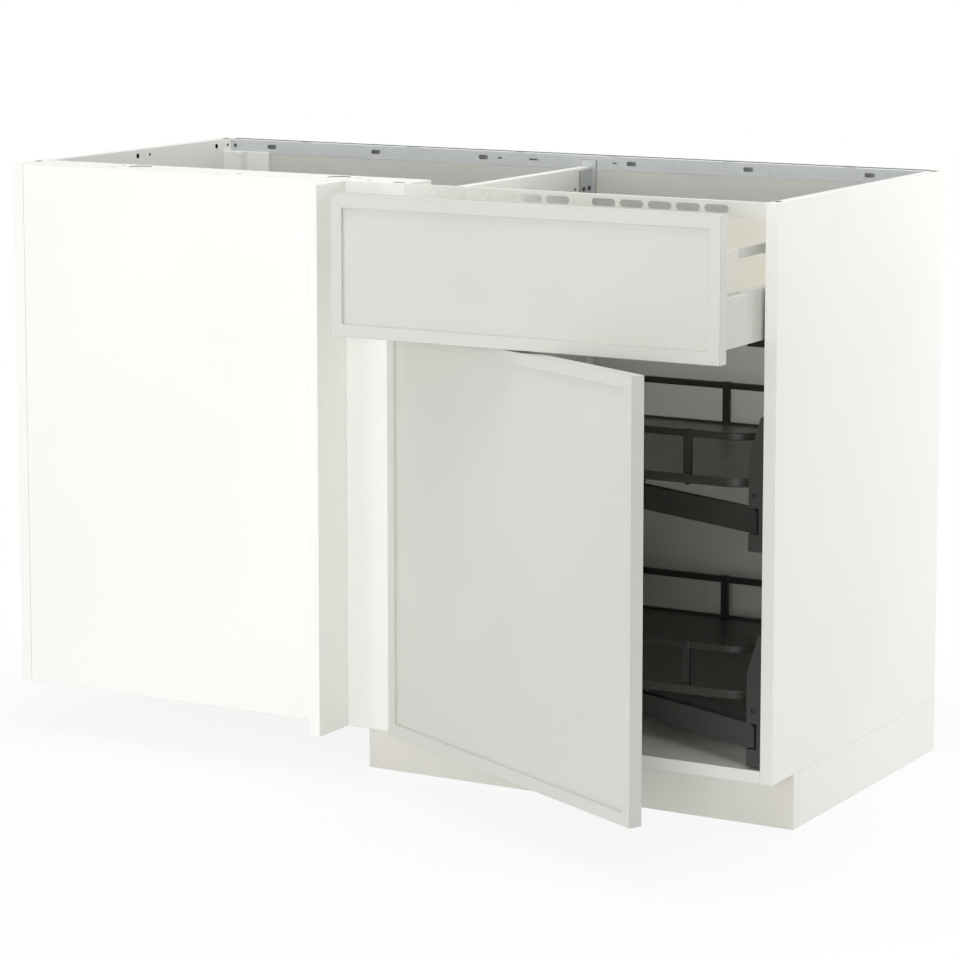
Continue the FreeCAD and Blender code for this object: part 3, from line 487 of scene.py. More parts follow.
def dressed(node, finish, eased=0.6 * MM, segments=2, line=None, sides=None, drawn_in=None, bore_shade=None,
            pockets=None):
    """A node with eased edges and its real finish. Line is a darker finish painted on the eased edges as a
    line of shade, sides gives other finishes by the way that a flat side faces, painted light among them,
    drawn_in how far a side stands back, or out where that is less than nothing, bore_shade the dark colour
    painted inside drilled holes and pockets as their shade, and pockets the boxes cut out."""
    shape = copy_of(node)
    finishes = [finish, line or finish, bore_shade or finish]
    for way, other in (sides or {}).items():
        if other not in finishes:
            finishes.append(other)
        for face in shape.faces:
            if face.normal.dot(WAYS[way]) > SQUARELY:
                face.material_index = finishes.index(other)
    # Painted shade: small faces sunk inside the board, the walls of drilled holes, are coloured dark.
    if bore_shade:
        low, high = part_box(node)
        for face in shape.faces:
            middle = face.calc_center_median()
            sunk = min(min(middle[axis] - low[axis], high[axis] - middle[axis]) for axis in range(3))
            if sunk > BORE_SUNK and face.calc_area() < BORE_FACE:
                face.material_index = BORE_SHADE_FINISH
    for way, depth in (drawn_in or {}).items():
        far = max(vert.co.dot(WAYS[way]) for vert in shape.verts)
        for vert in shape.verts:
            if vert.co.dot(WAYS[way]) > far - MERGE:
                vert.co -= WAYS[way] * depth
    piece = piece_of(node + "_dressed", shape, finishes)
    if pockets:
        # The pockets' walls get the painted shade as well.
        hollow(piece, pockets, BORE_SHADE_FINISH)
    settle(ease(piece, eased, segments, LINE_FINISH if line else OWN_FINISH))
    return stand_for(piece, node)


# fastenings and ribs

def node_tree(name, inputs):
    """An empty Geometry Nodes tree with named inputs."""
    tree = bpy.data.node_groups.new(name, "GeometryNodeTree")
    for label, kind in inputs:
        tree.interface.new_socket(label, in_out="INPUT", socket_type="NodeSocket" + kind)
    tree.interface.new_socket("Geometry", in_out="OUTPUT", socket_type="NodeSocketGeometry")
    return tree


def named(tree, label):
    """A node that reads a vector stored on the points."""
    made = tree.nodes.new("GeometryNodeInputNamedAttribute")
    made.data_type = "FLOAT_VECTOR"
    made.inputs["Name"].default_value = label
    return made.outputs["Attribute"]


def turned_to(tree, way, axis, pivot="AUTO", rotation=None):
    """A node that turns an axis to point a way."""
    made = tree.nodes.new("FunctionNodeAlignRotationToVector")
    made.axis = axis
    made.pivot_axis = pivot
    tree.links.new(way, made.inputs["Vector"])
    if rotation:
        tree.links.new(rotation, made.inputs["Rotation"])
    return made.outputs["Rotation"]


def set_out(tree, points, item, rotation, finish):
    """The end of a tree: an item on every point, made real, in one finish."""
    link = tree.links.new
    source = tree.nodes.new("GeometryNodeObjectInfo")
    link(item, source.inputs["Object"])
    spread = tree.nodes.new("GeometryNodeInstanceOnPoints")
    link(points, spread.inputs["Points"])
    link(source.outputs["Geometry"], spread.inputs["Instance"])
    link(rotation, spread.inputs["Rotation"])
    real = tree.nodes.new("GeometryNodeRealizeInstances")
    link(spread.outputs["Instances"], real.inputs["Geometry"])
    coat = tree.nodes.new("GeometryNodeSetMaterial")
    link(real.outputs["Geometry"], coat.inputs["Geometry"])
    link(finish, coat.inputs["Material"])
    link(coat.outputs["Geometry"], tree.nodes.new("NodeGroupOutput").inputs["Geometry"])


def fastening_tree():
    """A head on every place, facing out of its surface, and turned by chance as a driven screw stops."""
    tree = node_tree("fastenings", (
        ("Places", "Geometry"), ("Head", "Object"), ("Turn", "Float"), ("Seed", "Int"),
        ("Finish", "Material"),
    ))
    given = tree.nodes.new("NodeGroupInput").outputs
    outward = turned_to(tree, named(tree, "facing"), "Z")
    lined_up = turned_to(tree, named(tree, "along"), "X", "Z", outward)
    chance = tree.nodes.new("FunctionNodeRandomValue")
    chance.data_type = "FLOAT"
    sockets = {socket.identifier: socket for socket in chance.inputs}
    sockets["Min_001"].default_value = 0.0
    tree.links.new(given["Turn"], sockets["Max_001"])
    tree.links.new(given["Seed"], sockets["Seed"])
    spin = tree.nodes.new("FunctionNodeAxisAngleToRotation")
    spin.inputs["Axis"].default_value = (0, 0, 1)
    drawn = next(socket for socket in chance.outputs if socket.identifier == "Value_001")
    tree.links.new(drawn, spin.inputs["Angle"])
    stopped = tree.nodes.new("FunctionNodeRotateRotation")
    stopped.rotation_space = "LOCAL"
    tree.links.new(lined_up, stopped.inputs["Rotation"])
    tree.links.new(spin.outputs["Rotation"], stopped.inputs["Rotate By"])
    set_out(tree, given["Places"], given["Head"], stopped.outputs["Rotation"], given["Finish"])
    return tree


def rib_tree():
    """A ring of ribs round every centre, each rib pointing outwards."""
    tree = node_tree("ribs", (
        ("Centres", "Geometry"), ("Rib", "Object"), ("Count", "Int"), ("Radius", "Float"),
        ("Finish", "Material"),
    ))
    link = tree.links.new
    given = tree.nodes.new("NodeGroupInput").outputs
    ring = tree.nodes.new("GeometryNodeMeshCircle")
    link(given["Count"], ring.inputs["Vertices"])
    link(given["Radius"], ring.inputs["Radius"])
    mark = tree.nodes.new("GeometryNodeStoreNamedAttribute")
    mark.data_type = "FLOAT_VECTOR"
    mark.inputs["Name"].default_value = "facing"
    link(ring.outputs["Mesh"], mark.inputs["Geometry"])
    link(tree.nodes.new("GeometryNodeInputPosition").outputs["Position"], mark.inputs["Value"])
    rings = tree.nodes.new("GeometryNodeInstanceOnPoints")
    link(given["Centres"], rings.inputs["Points"])
    link(mark.outputs["Geometry"], rings.inputs["Instance"])
    real = tree.nodes.new("GeometryNodeRealizeInstances")
    link(rings.outputs["Instances"], real.inputs["Geometry"])
    outward = turned_to(tree, named(tree, "facing"), "X", "Z")
    set_out(tree, real.outputs["Geometry"], given["Rib"], outward, given["Finish"])
    return tree


FASTENINGS = fastening_tree()
RIBS = rib_tree()


def run_tree(name, tree, points, vectors, settings):
    """Run a tree on points that carry vectors, and keep what it makes as plain mesh."""
    mesh = bpy.data.meshes.new(name)
    mesh.from_pydata(points, [], [])
    for label, ways in vectors.items():
        layer = mesh.attributes.new(label, "FLOAT_VECTOR", "POINT")
        layer.data.foreach_set("vector", [number for way in ways for number in way])
    piece = bpy.data.objects.new(name, mesh)
    bpy.context.scene.collection.objects.link(piece)
    modifier = piece.modifiers.new(name, "NODES")
    modifier.node_group = tree
    for socket in tree.interface.items_tree:
        if socket.name in settings:
            modifier[socket.identifier] = settings[socket.name]
    applied(piece)
    for label in ("facing", "along"):
        layer = piece.data.attributes.get(label)
        if layer:
            piece.data.attributes.remove(layer)
    return piece


def fasten(name, head, finish, places, turn=0.0, seed=1):
    """Set heads out over places, each a point, the way it faces and the way its length runs."""
    points, facing, along = zip(*places)
    settings = {"Head": head, "Turn": turn, "Seed": seed, "Finish": finish}
    return run_tree(name, FASTENINGS, points, {"facing": facing, "along": along}, settings)


def ring_ribs(name, rib, finish, centres, count, radius):
    settings = {"Rib": rib, "Count": count, "Radius": radius, "Finish": finish}
    return run_tree(name, RIBS, centres, {}, settings)


def screw_head(name, radius, height):
    """A domed head with a cross recess."""
    outline = (
        (0, 0), (radius, 0), (radius, 0.4 * height), (0.84 * radius, 0.82 * height),
        (0.5 * radius, height), (0, height),
    )
    head = piece_of(name, turned(outline), [ZINC])
    reach = 0.6 * radius
    half = 0.14 * radius
    floor = 0.35 * height
    over = 1.5 * height
    hollow(head, [
        ((-reach, -half, floor), (reach, half, over)),
        ((-half, -reach, floor), (half, reach, over)),
    ])
    return shaded(head)


def domed(name, radius, height):
    """A plain low dome, for a nail head, a rivet or a rubber dot."""
    outline = (
        (0, 0), (radius, 0), (radius, 0.3 * height), (0.9 * radius, 0.62 * height),
        (0.66 * radius, 0.9 * height), (0.3 * radius, height), (0, height),
    )
    return shaded(piece_of(name, turned(outline), [ZINC]))


def block(name, low, high, eased, segments=2):
    """A block with rounded edges, to be set out in places."""
    shape = bmesh.new()
    add_box(shape, low, high)
    return shaded(applied(ease(piece_of(name, shape, [ZINC]), eased, segments)))


def gusset(name, reach, drop, thick):
    """A rib that stands out along X under a plate and tapers away from its root."""
    root = -1 * MM
    outline = ((root, 0), (reach, 0), (reach, -0.2 * drop), (root, -drop))
    shape = drawn_along(outline, -thick / 2, thick / 2)
    return shaded(applied(ease(piece_of(name, shape, [ZINC]), 0.4 * MM)))


# carcass

RAW_EDGES = {"+Y": CHIPBOARD, "-Z": CHIPBOARD}
RAW_FOOT = {"-Z": CHIPBOARD}

# How far edges are drawn in so that their joint lines show.
PANEL_GAP = 0.4 * MM
BACK_DROP = 0.9 * MM
PLUG_DROP = 1.2 * MM
FLANGE_DROP = 1.2 * MM

# Pockets where steel tabs hook into top edges, in millimetres: right of a board's left side, back from its
# front, width and depth.
TAB_DROP = 3 * MM
TAB_POCKETS = {
    "left_side_panel": ((3, 48, 12, 11), (5, 556, 10, 16)),
    "top_front_board": ((646, 11, 20, 11),),
    "right_side_panel": ((2, 18, 9, 13), (3, 558, 11, 16)),
}


def tab_pockets(node):
    low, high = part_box(node)
    boxes = []
    for across, back, width, depth in TAB_POCKETS[node]:
        corner = Vector((low[0] + across * MM, low[1] + back * MM, high[2] - TAB_DROP))
        boxes.append((corner, corner + Vector((width * MM, depth * MM, 2 * TAB_DROP))))
    return boxes


def boards():
    # The eased edges of the white boards get a slightly darker white painted on as a line of shade.
    for node in ("left_side_panel", "right_side_panel"):
        # bore_shade paints the walls of drilled holes and tab pockets dark as their shade.
        dressed(node, WHITE, line=PAINTED_EDGE_SHADE, sides=RAW_EDGES, bore_shade=PAINTED_BORE_SHADE, pockets=tab_pockets(node))
    dressed("bottom_panel", WHITE, line=PAINTED_EDGE_SHADE, sides={"+Y": CHIPBOARD})
    dressed("blind_front_panel", WHITE, line=PAINTED_EDGE_SHADE, sides=RAW_FOOT, drawn_in={"-X": PANEL_GAP})
    for node in ("filler_face", "filler_return"):
        dressed(node, WHITE, line=PAINTED_EDGE_SHADE, sides=RAW_FOOT)
    for node in ("hinge_stile", "rear_corner_post"):
        dressed(node, WHITE, line=PAINTED_EDGE_SHADE)
    dressed("divider_panel", WHITE, line=PAINTED_EDGE_SHADE, bore_shade=PAINTED_BORE_SHADE)
    pockets = tab_pockets("top_front_board")
    dressed("top_front_board", WHITE, line=PAINTED_EDGE_SHADE, bore_shade=PAINTED_BORE_SHADE, pockets=pockets)
    for node in ("back_panel_left", "back_panel_right"):
        dressed(node, BACK_WHITE, eased=0.3 * MM, sides={"+Y": HARDBOARD}, drawn_in={"+Z": BACK_DROP})
    dressed("back_joint_strip", WHITE_PLASTIC, eased=1 * MM)
    dressed("cover_plugs", WHITE_PLASTIC, eased=0.8 * MM, drawn_in={"+Z": PLUG_DROP})
    dressed("top_board_dowels", BEECH)
    dressed("plinth_front", PLINTH_WHITE, line=PAINTED_EDGE_SHADE, sides={"+X": WHITE})
    dressed("plinth_side", WHITE, line=PAINTED_EDGE_SHADE)


NAIL_PITCH = 130 * MM
NAIL_END = 27 * MM
NAIL_INSET = 9 * MM
# Nails up the divider's rear edge, as shares of its height.
DIVIDER_NAILS = (0.1, 0.4, 0.7)


def back_nails():
    """Nails through the back panels into the floor's rear edge and the divider's."""
    head = domed("nail_head", radius=2.6 * MM, height=0.9 * MM)
    places = []
    for node in ("back_panel_left", "back_panel_right"):
        low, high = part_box(node)
        span = high[0] - low[0] - 2 * NAIL_END
        count = round(span / NAIL_PITCH)
        for step in range(count + 1):
            x = low[0] + NAIL_END + span * step / count
            places.append(((x, high[1], low[2] + NAIL_INSET), BACK, RIGHT))
    low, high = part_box("divider_panel")
    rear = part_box("back_panel_right")[1][1]
    for share in DIVIDER_NAILS:
        z = low[2] + share * (high[2] - low[2])
        places.append((((low[0] + high[0]) / 2, rear, z), BACK, RIGHT))
    fitted(fasten("back_nails", head, ZINC, places), "carcass")
    discard(head)


TAB_GAUGE = 1.2 * MM
TAB_SUNK = 1.2 * MM
TAB_GAP = 1 * MM
# The share of a pocket's depth that is left open before its tab.
TAB_OPEN = 0.5


def rail_tabs():
    """The steel tabs in the pockets, each a tongue with its end turned down."""
    shape = bmesh.new()
    for node in TAB_POCKETS:
        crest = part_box(node)[1][2] - TAB_SUNK
        under = crest - TAB_GAUGE
        for low, high in tab_pockets(node):
            front = low.y + TAB_OPEN * (high.y - low.y)
            left = low.x + TAB_GAP
            right = high.x - TAB_GAP
            add_box(shape, (left, front, under), (right, high.y - TAB_GAP, crest))
            add_box(shape, (left, front, low.z), (right, front + TAB_GAUGE, under))
    piece = settle(ease(piece_of("rail_tabs", shape, [GALVANISED]), 0.25 * MM))
    fitted(piece, "carcass")


LIP_GAUGE = 1.2 * MM
LIP_HEM = 4.7 * MM
LIP_HEM_THICK = 2.04 * MM
LIP_LIFT = 3 * MM
LIP_BEAD = 1.2 * MM


def wall_rail_lip():
    """The wall rail's rear edge, turned down and hemmed; its top, its ends, its underside and the strip of
    it that stands over the flange are painted dark as shade, and only its faces inside the channel and at
    the rear keep the plain zinc.
    """
    low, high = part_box("rear_top_rail")
    back = high[1]
    front = back - LIP_GAUGE
    hem_front = back - LIP_HEM_THICK
    rounding = LIP_GAUGE / 2
    top = high[2]
    bead_foot = top - LIP_BEAD
    foot = low[2] + LIP_LIFT
    hem_top = foot + LIP_HEM
    outline = (
        (front, bead_foot), (front, top), (back, top), (back, foot + rounding), (back - rounding, foot),
        (hem_front, foot), (hem_front, hem_top), (front, hem_top),
    )
    shape = drawn_along(outline, low[0], high[0], "x")
    # All but the faces inside the channel and at the rear get the painted shade, so the strip over the
    # flange reads as a dark line.
    finishes = [PAINTED_ZINC_SHADE, GALVANISED]
    for face in shape.faces:
        inside = face.normal.dot(FRONT) > SQUARELY and face.calc_center_median().z < bead_foot
        if inside or face.normal.dot(BACK) > SQUARELY:
            face.material_index = finishes.index(GALVANISED)
    lip = piece_of("wall_rail_lip", shape, finishes)
    fitted(settle(ease(lip, 0.2 * MM)), "carcass")


RIVET_INSET = 9 * MM


def rails():
    dressed("front_top_rail", WHITE_STEEL, eased=0.4 * MM)
    # The rear rail's upward faces get the paler zinc, painted light from above.
    flange = {"+Z": PAINTED_ZINC_LIGHT}
    dressed("rear_top_rail", GALVANISED, eased=0.4 * MM, sides=flange, drawn_in={"+Z": FLANGE_DROP})
    # The divider bracket's eased edges are painted dark as a line of shade.
    dressed("divider_bracket", GALVANISED, eased=0.5 * MM, line=PAINTED_ZINC_SHADE)
    wall_rail_lip()
    rail_tabs()
    low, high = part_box("rear_top_rail")
    middle = (low[2] + high[2]) / 2
    # The rivet heads are painted dark so that they read as the shade inside the rail's holes.
    rivet = domed("rivet_head", radius=3 * MM, height=1.2 * MM)
    places = [((x, low[1], middle), FRONT, RIGHT) for x in (low[0] + RIVET_INSET, high[0] - RIVET_INSET)]
    fitted(fasten("rail_rivets", rivet, DARK_ZINC, places), "carcass")
    discard(rivet)


# A tray bracket's screw, in from the bracket's right side and up from its foot.
TRAY_SCREW_IN = 13 * MM
TRAY_SCREW_UP = 78 * MM
SOCKET_PLATE = 4 * MM
SOCKET_SCREW_INSET = 7 * MM


def carcass_screws():
    """Screws of the divider bracket, the tray brackets and the leg sockets."""
    head = screw_head("pan_head", radius=3.5 * MM, height=2.5 * MM)
    places = []
    for low, high, _ in solids_of("bracket_screws"):
        places.append(((low.x, (low.y + high.y) / 2, (low.z + high.z) / 2), RIGHT, BACK))
    driven = fasten("bracket_screws_driven", head, DARK_ZINC, places, turn=math.tau, seed=3)
    stand_for(driven, "bracket_screws")
    places = []
    for level in LEVELS:
        for low, high, _ in solids_of(f"{level}_tray_brackets"):
            places.append(((high.x - TRAY_SCREW_IN, low.y, low.z + TRAY_SCREW_UP), FRONT, RIGHT))
    driven = fasten("tray_bracket_screws", head, RUNNER_STEEL, places, turn=math.tau, seed=5)
    fitted(driven, "carcass")
    places = []
    for low, high, _ in solids_of("leg_sockets"):
        for x in (low.x + SOCKET_SCREW_INSET, high.x - SOCKET_SCREW_INSET):
            for y in (low.y + SOCKET_SCREW_INSET, high.y - SOCKET_SCREW_INSET):
                places.append(((x, y, high.z - SOCKET_PLATE), DOWN, RIGHT))
    driven = fasten("leg_screws", head, ZINC, places, turn=math.tau, seed=7)
    fitted(driven, "carcass")
    discard(head)


SOCKET_RIBS = 8
SOCKET_RIB_CIRCLE = 19 * MM
GRIP_RIBS = 28
GRIP_RIB = ((-0.6 * MM, -1.1 * MM, 1.4 * MM), (0.7 * MM, 1.1 * MM, 6.6 * MM))


def legs():
    """Ribbed sockets under the floor, feet with a grip to turn them by, and the plinth's clips."""
    feet = [f"foot_{number}" for number in range(1, 7)]
    for node in ("plinth_clips", "leg_sockets", *feet):
        dressed(node, BLACK_PLASTIC, eased=0.8 * MM)
    rib = gusset("socket_rib", reach=10 * MM, drop=12 * MM, thick=2 * MM)
    centres = []
    for low, high, _ in solids_of("leg_sockets"):
        centres.append(((low.x + high.x) / 2, (low.y + high.y) / 2, high.z - SOCKET_PLATE))
    ribs = ring_ribs("socket_ribs", rib, BLACK_PLASTIC, centres, SOCKET_RIBS, SOCKET_RIB_CIRCLE)
    fitted(ribs, "carcass")
    grip = block("foot_grip", *GRIP_RIB, eased=0.5 * MM)
    for node in feet:
        low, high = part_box(node)
        centre = ((low[0] + high[0]) / 2, (low[1] + high[1]) / 2, low[2])
        radius = (high[0] - low[0]) / 2
        ribs = ring_ribs(node + "_grip", grip, BLACK_PLASTIC, [centre], GRIP_RIBS, radius)
        fitted(ribs, node)
    discard(rib, grip)


# door and drawer

def on_door():
    """The place of the door's own corner: across from its hinge line, out of its back, and up."""
    joint = JOINTS["door_swing"]
    open_by = math.radians(joint["range_deg"][0])
    return Matrix.Translation(joint["pos_m"]) @ Matrix.Rotation(open_by, 4, "Z")


# Where the hinge cups' ears are screwed down: across from the hinge line, and out of the door's back.
HINGE_EAR = (4.7 * MM, 12.5 * MM)
HINGE_EAR_DROP = 20 * MM
DOOR_BACK = 11.5 * MM
DOOR_FREE_EDGE = 590 * MM
BUMPER_INSET = 9 * MM


def door():
    # The door's eased edges get a darker grey painted on as shade.
    dressed("door_front", GREY_FOIL, eased=0.7 * MM, line=PAINTED_FRONT_EDGE_SHADE)
    for node in ("hinge_cups", "hinge_pins", "hinge_arms", "hinge_plates"):
        dressed(node, ZINC, eased=0.3 * MM)
    place = on_door()
    outward = (place.to_3x3() @ BACK).normalized()
    hinge_foot = place.translation.z
    head = screw_head("ear_screw", radius=3 * MM, height=1.4 * MM)
    places = []
    for low, high, _ in solids_of("hinge_plates"):
        middle = (low.z + high.z) / 2
        for z in (middle - HINGE_EAR_DROP, middle + HINGE_EAR_DROP):
            places.append((place @ Vector((*HINGE_EAR, z - hinge_foot)), outward, UP))
    driven = fasten("hinge_ear_screws", head, ZINC, places, turn=math.tau, seed=9)
    fitted(driven, "door")
    dot = domed("rubber_dot", radius=4 * MM, height=1.6 * MM)
    low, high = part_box("door_front")
    places = []
    for z in (low[2] + BUMPER_INSET, high[2] - BUMPER_INSET):
        spot = Vector((DOOR_FREE_EDGE - BUMPER_INSET, DOOR_BACK, z - hinge_foot))
        places.append((place @ spot, outward, UP))
    fitted(fasten("door_bumpers", dot, CLEAR_RUBBER, places), "door")
    low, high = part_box("drawer_front")
    places = []
    for x in (low[0] + BUMPER_INSET, high[0] - BUMPER_INSET):
        for z in (low[2] + BUMPER_INSET, high[2] - BUMPER_INSET):
            places.append(((x, high[1], z), BACK, UP))
    fitted(fasten("drawer_bumpers", dot, CLEAR_RUBBER, places), "drawer")
    discard(head, dot)


def arc(centre, radius, start, end, steps=6):
    """Points on a quarter of a circle or less, between two angles in degrees."""
    angles = [math.radians(start + (end - start) * step / steps) for step in range(steps + 1)]
    return [(centre[0] + radius * math.cos(turn), centre[1] + radius * math.sin(turn)) for turn in angles]


def crowned(left, right, foot, top, radius):
    """An upturned U from its left foot over a rounded crown to its right foot."""
    return [
        (left, foot),
        *arc((left + radius, top - radius), radius, 180, 90),
        *arc((right - radius, top - radius), radius, 90, 0),
        (right, foot),
    ]


SIDE_GAUGE = 1.2 * MM
SIDE_CROWN = 4 * MM


def drawer_sides():
    """Hollow pressed sides with a rounded crown; the runners are inside them."""
    for node in ("drawer_side_left", "drawer_side_right"):
        low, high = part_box(node)
        outer = crowned(low[0], high[0], low[2], high[2], SIDE_CROWN)
        inner = crowned(
            low[0] + SIDE_GAUGE, high[0] - SIDE_GAUGE, low[2], high[2] - SIDE_GAUGE, SIDE_CROWN - SIDE_GAUGE,
        )
        shape = drawn_along([*outer, *reversed(inner)], low[1], high[1])
        side = piece_of(node + "_dressed", shape, [SIDE_STEEL])
        stand_for(settle(ease(side, 0.25 * MM)), node)


# The screws of the drawer's front brackets: in from a bracket's outer side, up from its foot, down from its
# top, and the thickness of the sheet that they hold.
FRONT_SCREW_IN = 30 * MM
FRONT_SCREW_UP = 45 * MM
FRONT_SCREW_DOWN = 22 * MM
WING_GAUGE = 2 * MM


def drawer():
    # The drawer front's eased edges get a darker grey painted on as shade.
    dressed("drawer_front", GREY_FOIL, eased=0.7 * MM, line=PAINTED_FRONT_EDGE_SHADE)
    drawer_sides()
    dressed("gallery_rails", GALLERY_STEEL, eased=2 * MM, segments=3)
    dressed("front_brackets", WING_STEEL, eased=0.5 * MM)
    # The drawer's bottom and back get the painted edge shade too.
    for node in ("drawer_bottom", "drawer_back"):
        dressed(node, DRAWER_WHITE, line=PAINTED_EDGE_SHADE)
    for node in ("runner_ledges", "runner_middles", "runner_tongues"):
        dressed(node, RUNNER_STEEL, eased=0.3 * MM)
    head = screw_head("front_screw", radius=3.5 * MM, height=2 * MM)
    left, right = (corner[0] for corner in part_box("drawer_front"))
    places = []
    for low, high, _ in solids_of("front_brackets"):
        on_right = low.x > (left + right) / 2
        x = high.x - FRONT_SCREW_IN if on_right else low.x + FRONT_SCREW_IN
        for z in (low.z + FRONT_SCREW_UP, high.z - FRONT_SCREW_DOWN):
            places.append(((x, low.y + WING_GAUGE, z), BACK, RIGHT))
    driven = fasten("front_screws", head, ZINC, places, turn=math.tau, seed=11)
    fitted(driven, "drawer")
    discard(head)


# trays

PLATE_DEEPER = 3 * MM
# Low and high corners of a post's foot, from where it stands, and of its collar, from the rail's top.
POST_FOOT = ((-7.5 * MM, -4 * MM, 0), (7.5 * MM, 4 * MM, 2.4 * MM))
RAIL_COLLAR = ((-6.3 * MM, -3.6 * MM, -11 * MM), (6.3 * MM, 3.6 * MM, 1 * MM))


def tray_details(level):
    """Feet and collars of the tray's posts, and the screws that come up into them."""
    body = BODY_OF[f"{level}_tray"]
    rail_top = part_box(f"{level}_tray_rail")[1][2]
    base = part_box(f"{level}_tray")[0][2] - PLATE_DEEPER
    feet = []
    collars = []
    screws = []
    for low, high, broad in solids_of(f"{level}_tray_posts"):
        x = (low.x + high.x) / 2
        y = (low.y + high.y) / 2
        along = Vector((-broad.y, broad.x, 0))
        feet.append(((x, y, low.z), UP, along))
        collars.append(((x, y, rail_top), UP, along))
        screws.append(((x, y, base), DOWN, along))
    foot = block("post_foot", *POST_FOOT, eased=1 * MM, segments=3)
    collar = block("rail_collar", *RAIL_COLLAR, eased=0.8 * MM, segments=3)
    head = screw_head("post_screw", radius=4.5 * MM, height=3 * MM)
    for name, template, places in (
        ("post_feet", foot, feet), ("rail_collars", collar, collars), ("post_screws", head, screws),
    ):
        fitted(fasten(f"{level}_{name}", template, DARK_STEEL, places), body)
    discard(foot, collar, head)


def trays():
    for level in LEVELS:
        dressed(f"{level}_tray", LAMINATE, eased=0.8 * MM, drawn_in={"-Z": -PLATE_DEEPER})
        dressed(f"{level}_tray_rail", DARK_STEEL, eased=1 * MM)
        for part in ("tray_posts", "tray_pivots"):
            dressed(f"{level}_{part}", DARK_STEEL, eased=0.8 * MM)
        for part in ("front_arm", "rear_arm", "tray_brackets"):
            dressed(f"{level}_{part}", ARM_STEEL, eased=1.2 * MM)
        dressed(f"{level}_bracket_pins", DARK_ZINC, eased=0.5 * MM)
        tray_details(level)


# stage

def reckoned(tree, operation, first, second):
    """A node that works out one number from two."""
    made = tree.nodes.new("ShaderNodeMath")
    made.operation = operation
    tree.links.new(first, made.inputs[0])
    tree.links.new(second, made.inputs[1])
    return made.outputs["Value"]


def white_to_the_eye(tree, lit, glow=None):
    """Give a material or the world its lit shader, and plain white where the eye or a gloss looks at it.
    Glow says how white it is from place to place."""
    path = tree.nodes.new("ShaderNodeLightPath").outputs
    share = reckoned(tree, "MAXIMUM", path["Is Camera Ray"], path["Is Glossy Ray"])
    share = reckoned(tree, "MAXIMUM", share, path["Is Transmission Ray"])
    if glow:
        share = reckoned(tree, "MULTIPLY", share, glow)
    white = tree.nodes.new("ShaderNodeEmission")
    white.inputs["Color"].default_value = (1, 1, 1, 1)
    mix = tree.nodes.new("ShaderNodeMixShader")
    tree.links.new(share, mix.inputs["Fac"])
    tree.links.new(lit, mix.inputs[1])
    tree.links.new(white.outputs["Emission"], mix.inputs[2])
    return mix.outputs["Shader"]


# The floor in metres from its middle: it glows a little less than white near the object, so that the shadow
# shows there, and is plain white further out.
FLOOR_HALF = 30
FLOOR_WHITE = (0.9, 0.9, 0.9, 1)
FLOOR_GLOW = 0.88
SHADOW_FROM = 0.65
SHADOW_TO = 1.2
WORLD_LIGHT = 0.45


def floor():
    shape = bmesh.new()
    bmesh.ops.create_grid(shape, x_segments=1, y_segments=1, size=FLOOR_HALF)
    material = bpy.data.materials.new("studio_floor")
    material.use_nodes = True
    tree = material.node_tree
    tree.nodes.remove(tree.nodes["Principled BSDF"])
    matt = tree.nodes.new("ShaderNodeBsdfDiffuse")
    matt.inputs["Color"].default_value = FLOOR_WHITE
    place = tree.nodes.new("ShaderNodeTexCoord")
    distance = tree.nodes.new("ShaderNodeVectorMath")
    distance.operation = "LENGTH"
    tree.links.new(place.outputs["Object"], distance.inputs[0])
    glow = tree.nodes.new("ShaderNodeMapRange")
    glow.interpolation_type = "SMOOTHSTEP"
    for name, number in (
        ("From Min", SHADOW_FROM), ("From Max", SHADOW_TO), ("To Min", FLOOR_GLOW), ("To Max", 1.0),
    ):
        glow.inputs[name].default_value = number
    tree.links.new(distance.outputs["Value"], glow.inputs["Value"])
    shown = white_to_the_eye(tree, matt.outputs["BSDF"], glow.outputs["Result"])
    tree.links.new(shown, tree.nodes["Material Output"].inputs["Surface"])
    piece_of("studio_floor", shape, [material])


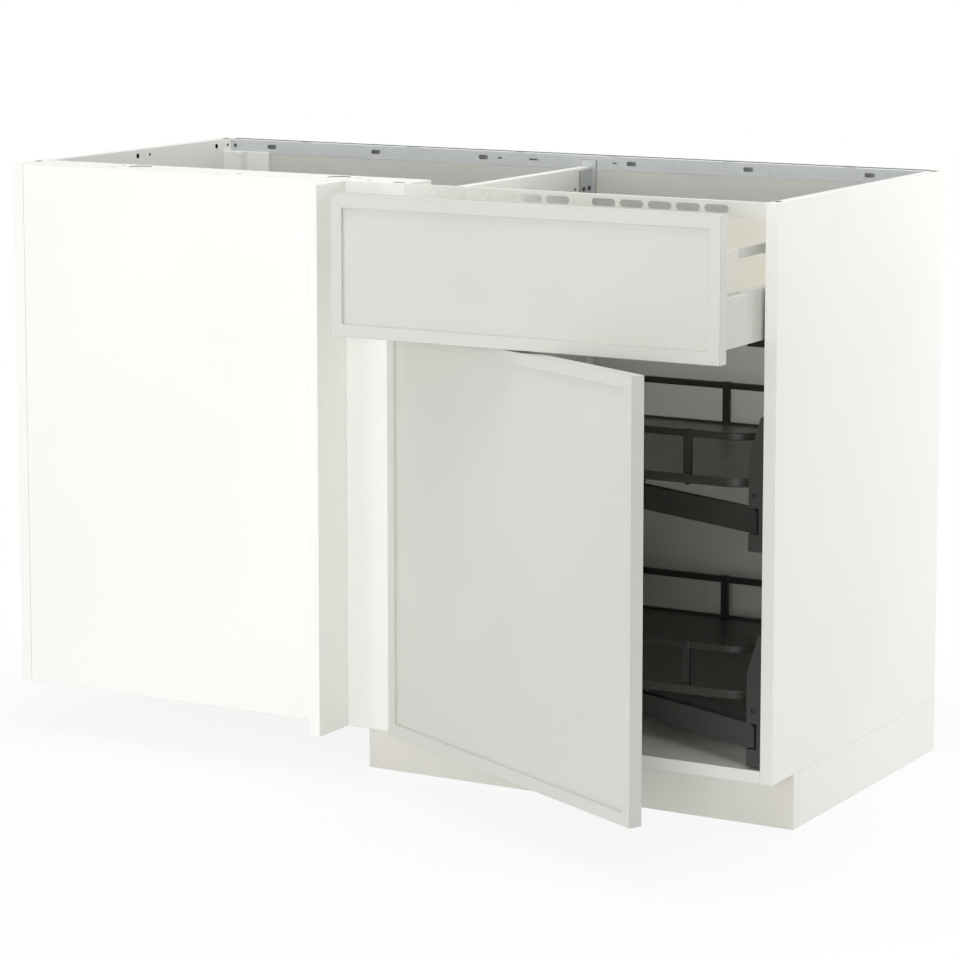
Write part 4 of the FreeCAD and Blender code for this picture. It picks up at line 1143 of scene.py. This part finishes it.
def world():
    sky = bpy.data.worlds.new("studio")
    sky.use_nodes = True
    tree = sky.node_tree
    light = tree.nodes["Background"]
    light.inputs["Color"].default_value = (1, 1, 1, 1)
    light.inputs["Strength"].default_value = WORLD_LIGHT
    shown = white_to_the_eye(tree, light.outputs["Background"])
    tree.links.new(shown, tree.nodes["World Output"].inputs["Surface"])
    bpy.context.scene.world = sky


# Each lamp: where it hangs, where it points, its size in metres and its power in watts.
LAMPS = {
    "front_left_softbox": ((-3.0, -4.8, 1.3), (-0.2, 0.0, 0.5), 2.6, 55),
    "front_right_softbox": ((2.0, -5.2, 1.0), (0.2, 0.0, 0.5), 1.8, 68),
    "right_rear_softbox": ((1.8, 1.6, 1.15), (0.64, 0.4, 0.5), 1.2, 16),
    "overhead_softbox": ((0.1, -0.7, 3.6), (0.1, 0.1, 0.8), 2.0, 44),
}


def lamps():
    for name, (place, target, size, power) in LAMPS.items():
        light = bpy.data.lights.new(name, "AREA")
        light.size = size
        light.energy = power
        lamp = bpy.data.objects.new(name, light)
        lamp.location = place
        lamp.rotation_euler = (Vector(target) - Vector(place)).to_track_quat("-Z", "Y").to_euler()
        lamp.visible_camera = False
        bpy.context.scene.collection.objects.link(lamp)


# The photograph's viewing angle: before the right corner, a little above the top, through a long lens.
CAMERA_PLACE = (2.5775, -4.3520, 1.3281)
CAMERA_YAW = math.radians(29.702)
CAMERA_PITCH = math.radians(7.735)
CAMERA_LENS = 129.975
CAMERA_SENSOR = 36
CAMERA_SHIFT = -0.15


def camera():
    lens = bpy.data.cameras.new("photo_view")
    lens.sensor_width = CAMERA_SENSOR
    lens.lens = CAMERA_LENS
    lens.shift_y = CAMERA_SHIFT
    eye = bpy.data.objects.new("photo_view", lens)
    eye.location = CAMERA_PLACE
    ahead = Vector((
        -math.sin(CAMERA_YAW) * math.cos(CAMERA_PITCH),
        math.cos(CAMERA_YAW) * math.cos(CAMERA_PITCH),
        -math.sin(CAMERA_PITCH),
    ))
    eye.rotation_euler = ahead.to_track_quat("-Z", "Y").to_euler()
    bpy.context.scene.collection.objects.link(eye)
    bpy.context.scene.camera = eye


boards()
back_nails()
rails()
carcass_screws()
legs()
door()
drawer()
trays()
floor()
world()
lamps()
camera()
bpy.context.scene.view_settings.view_transform = "Standard"
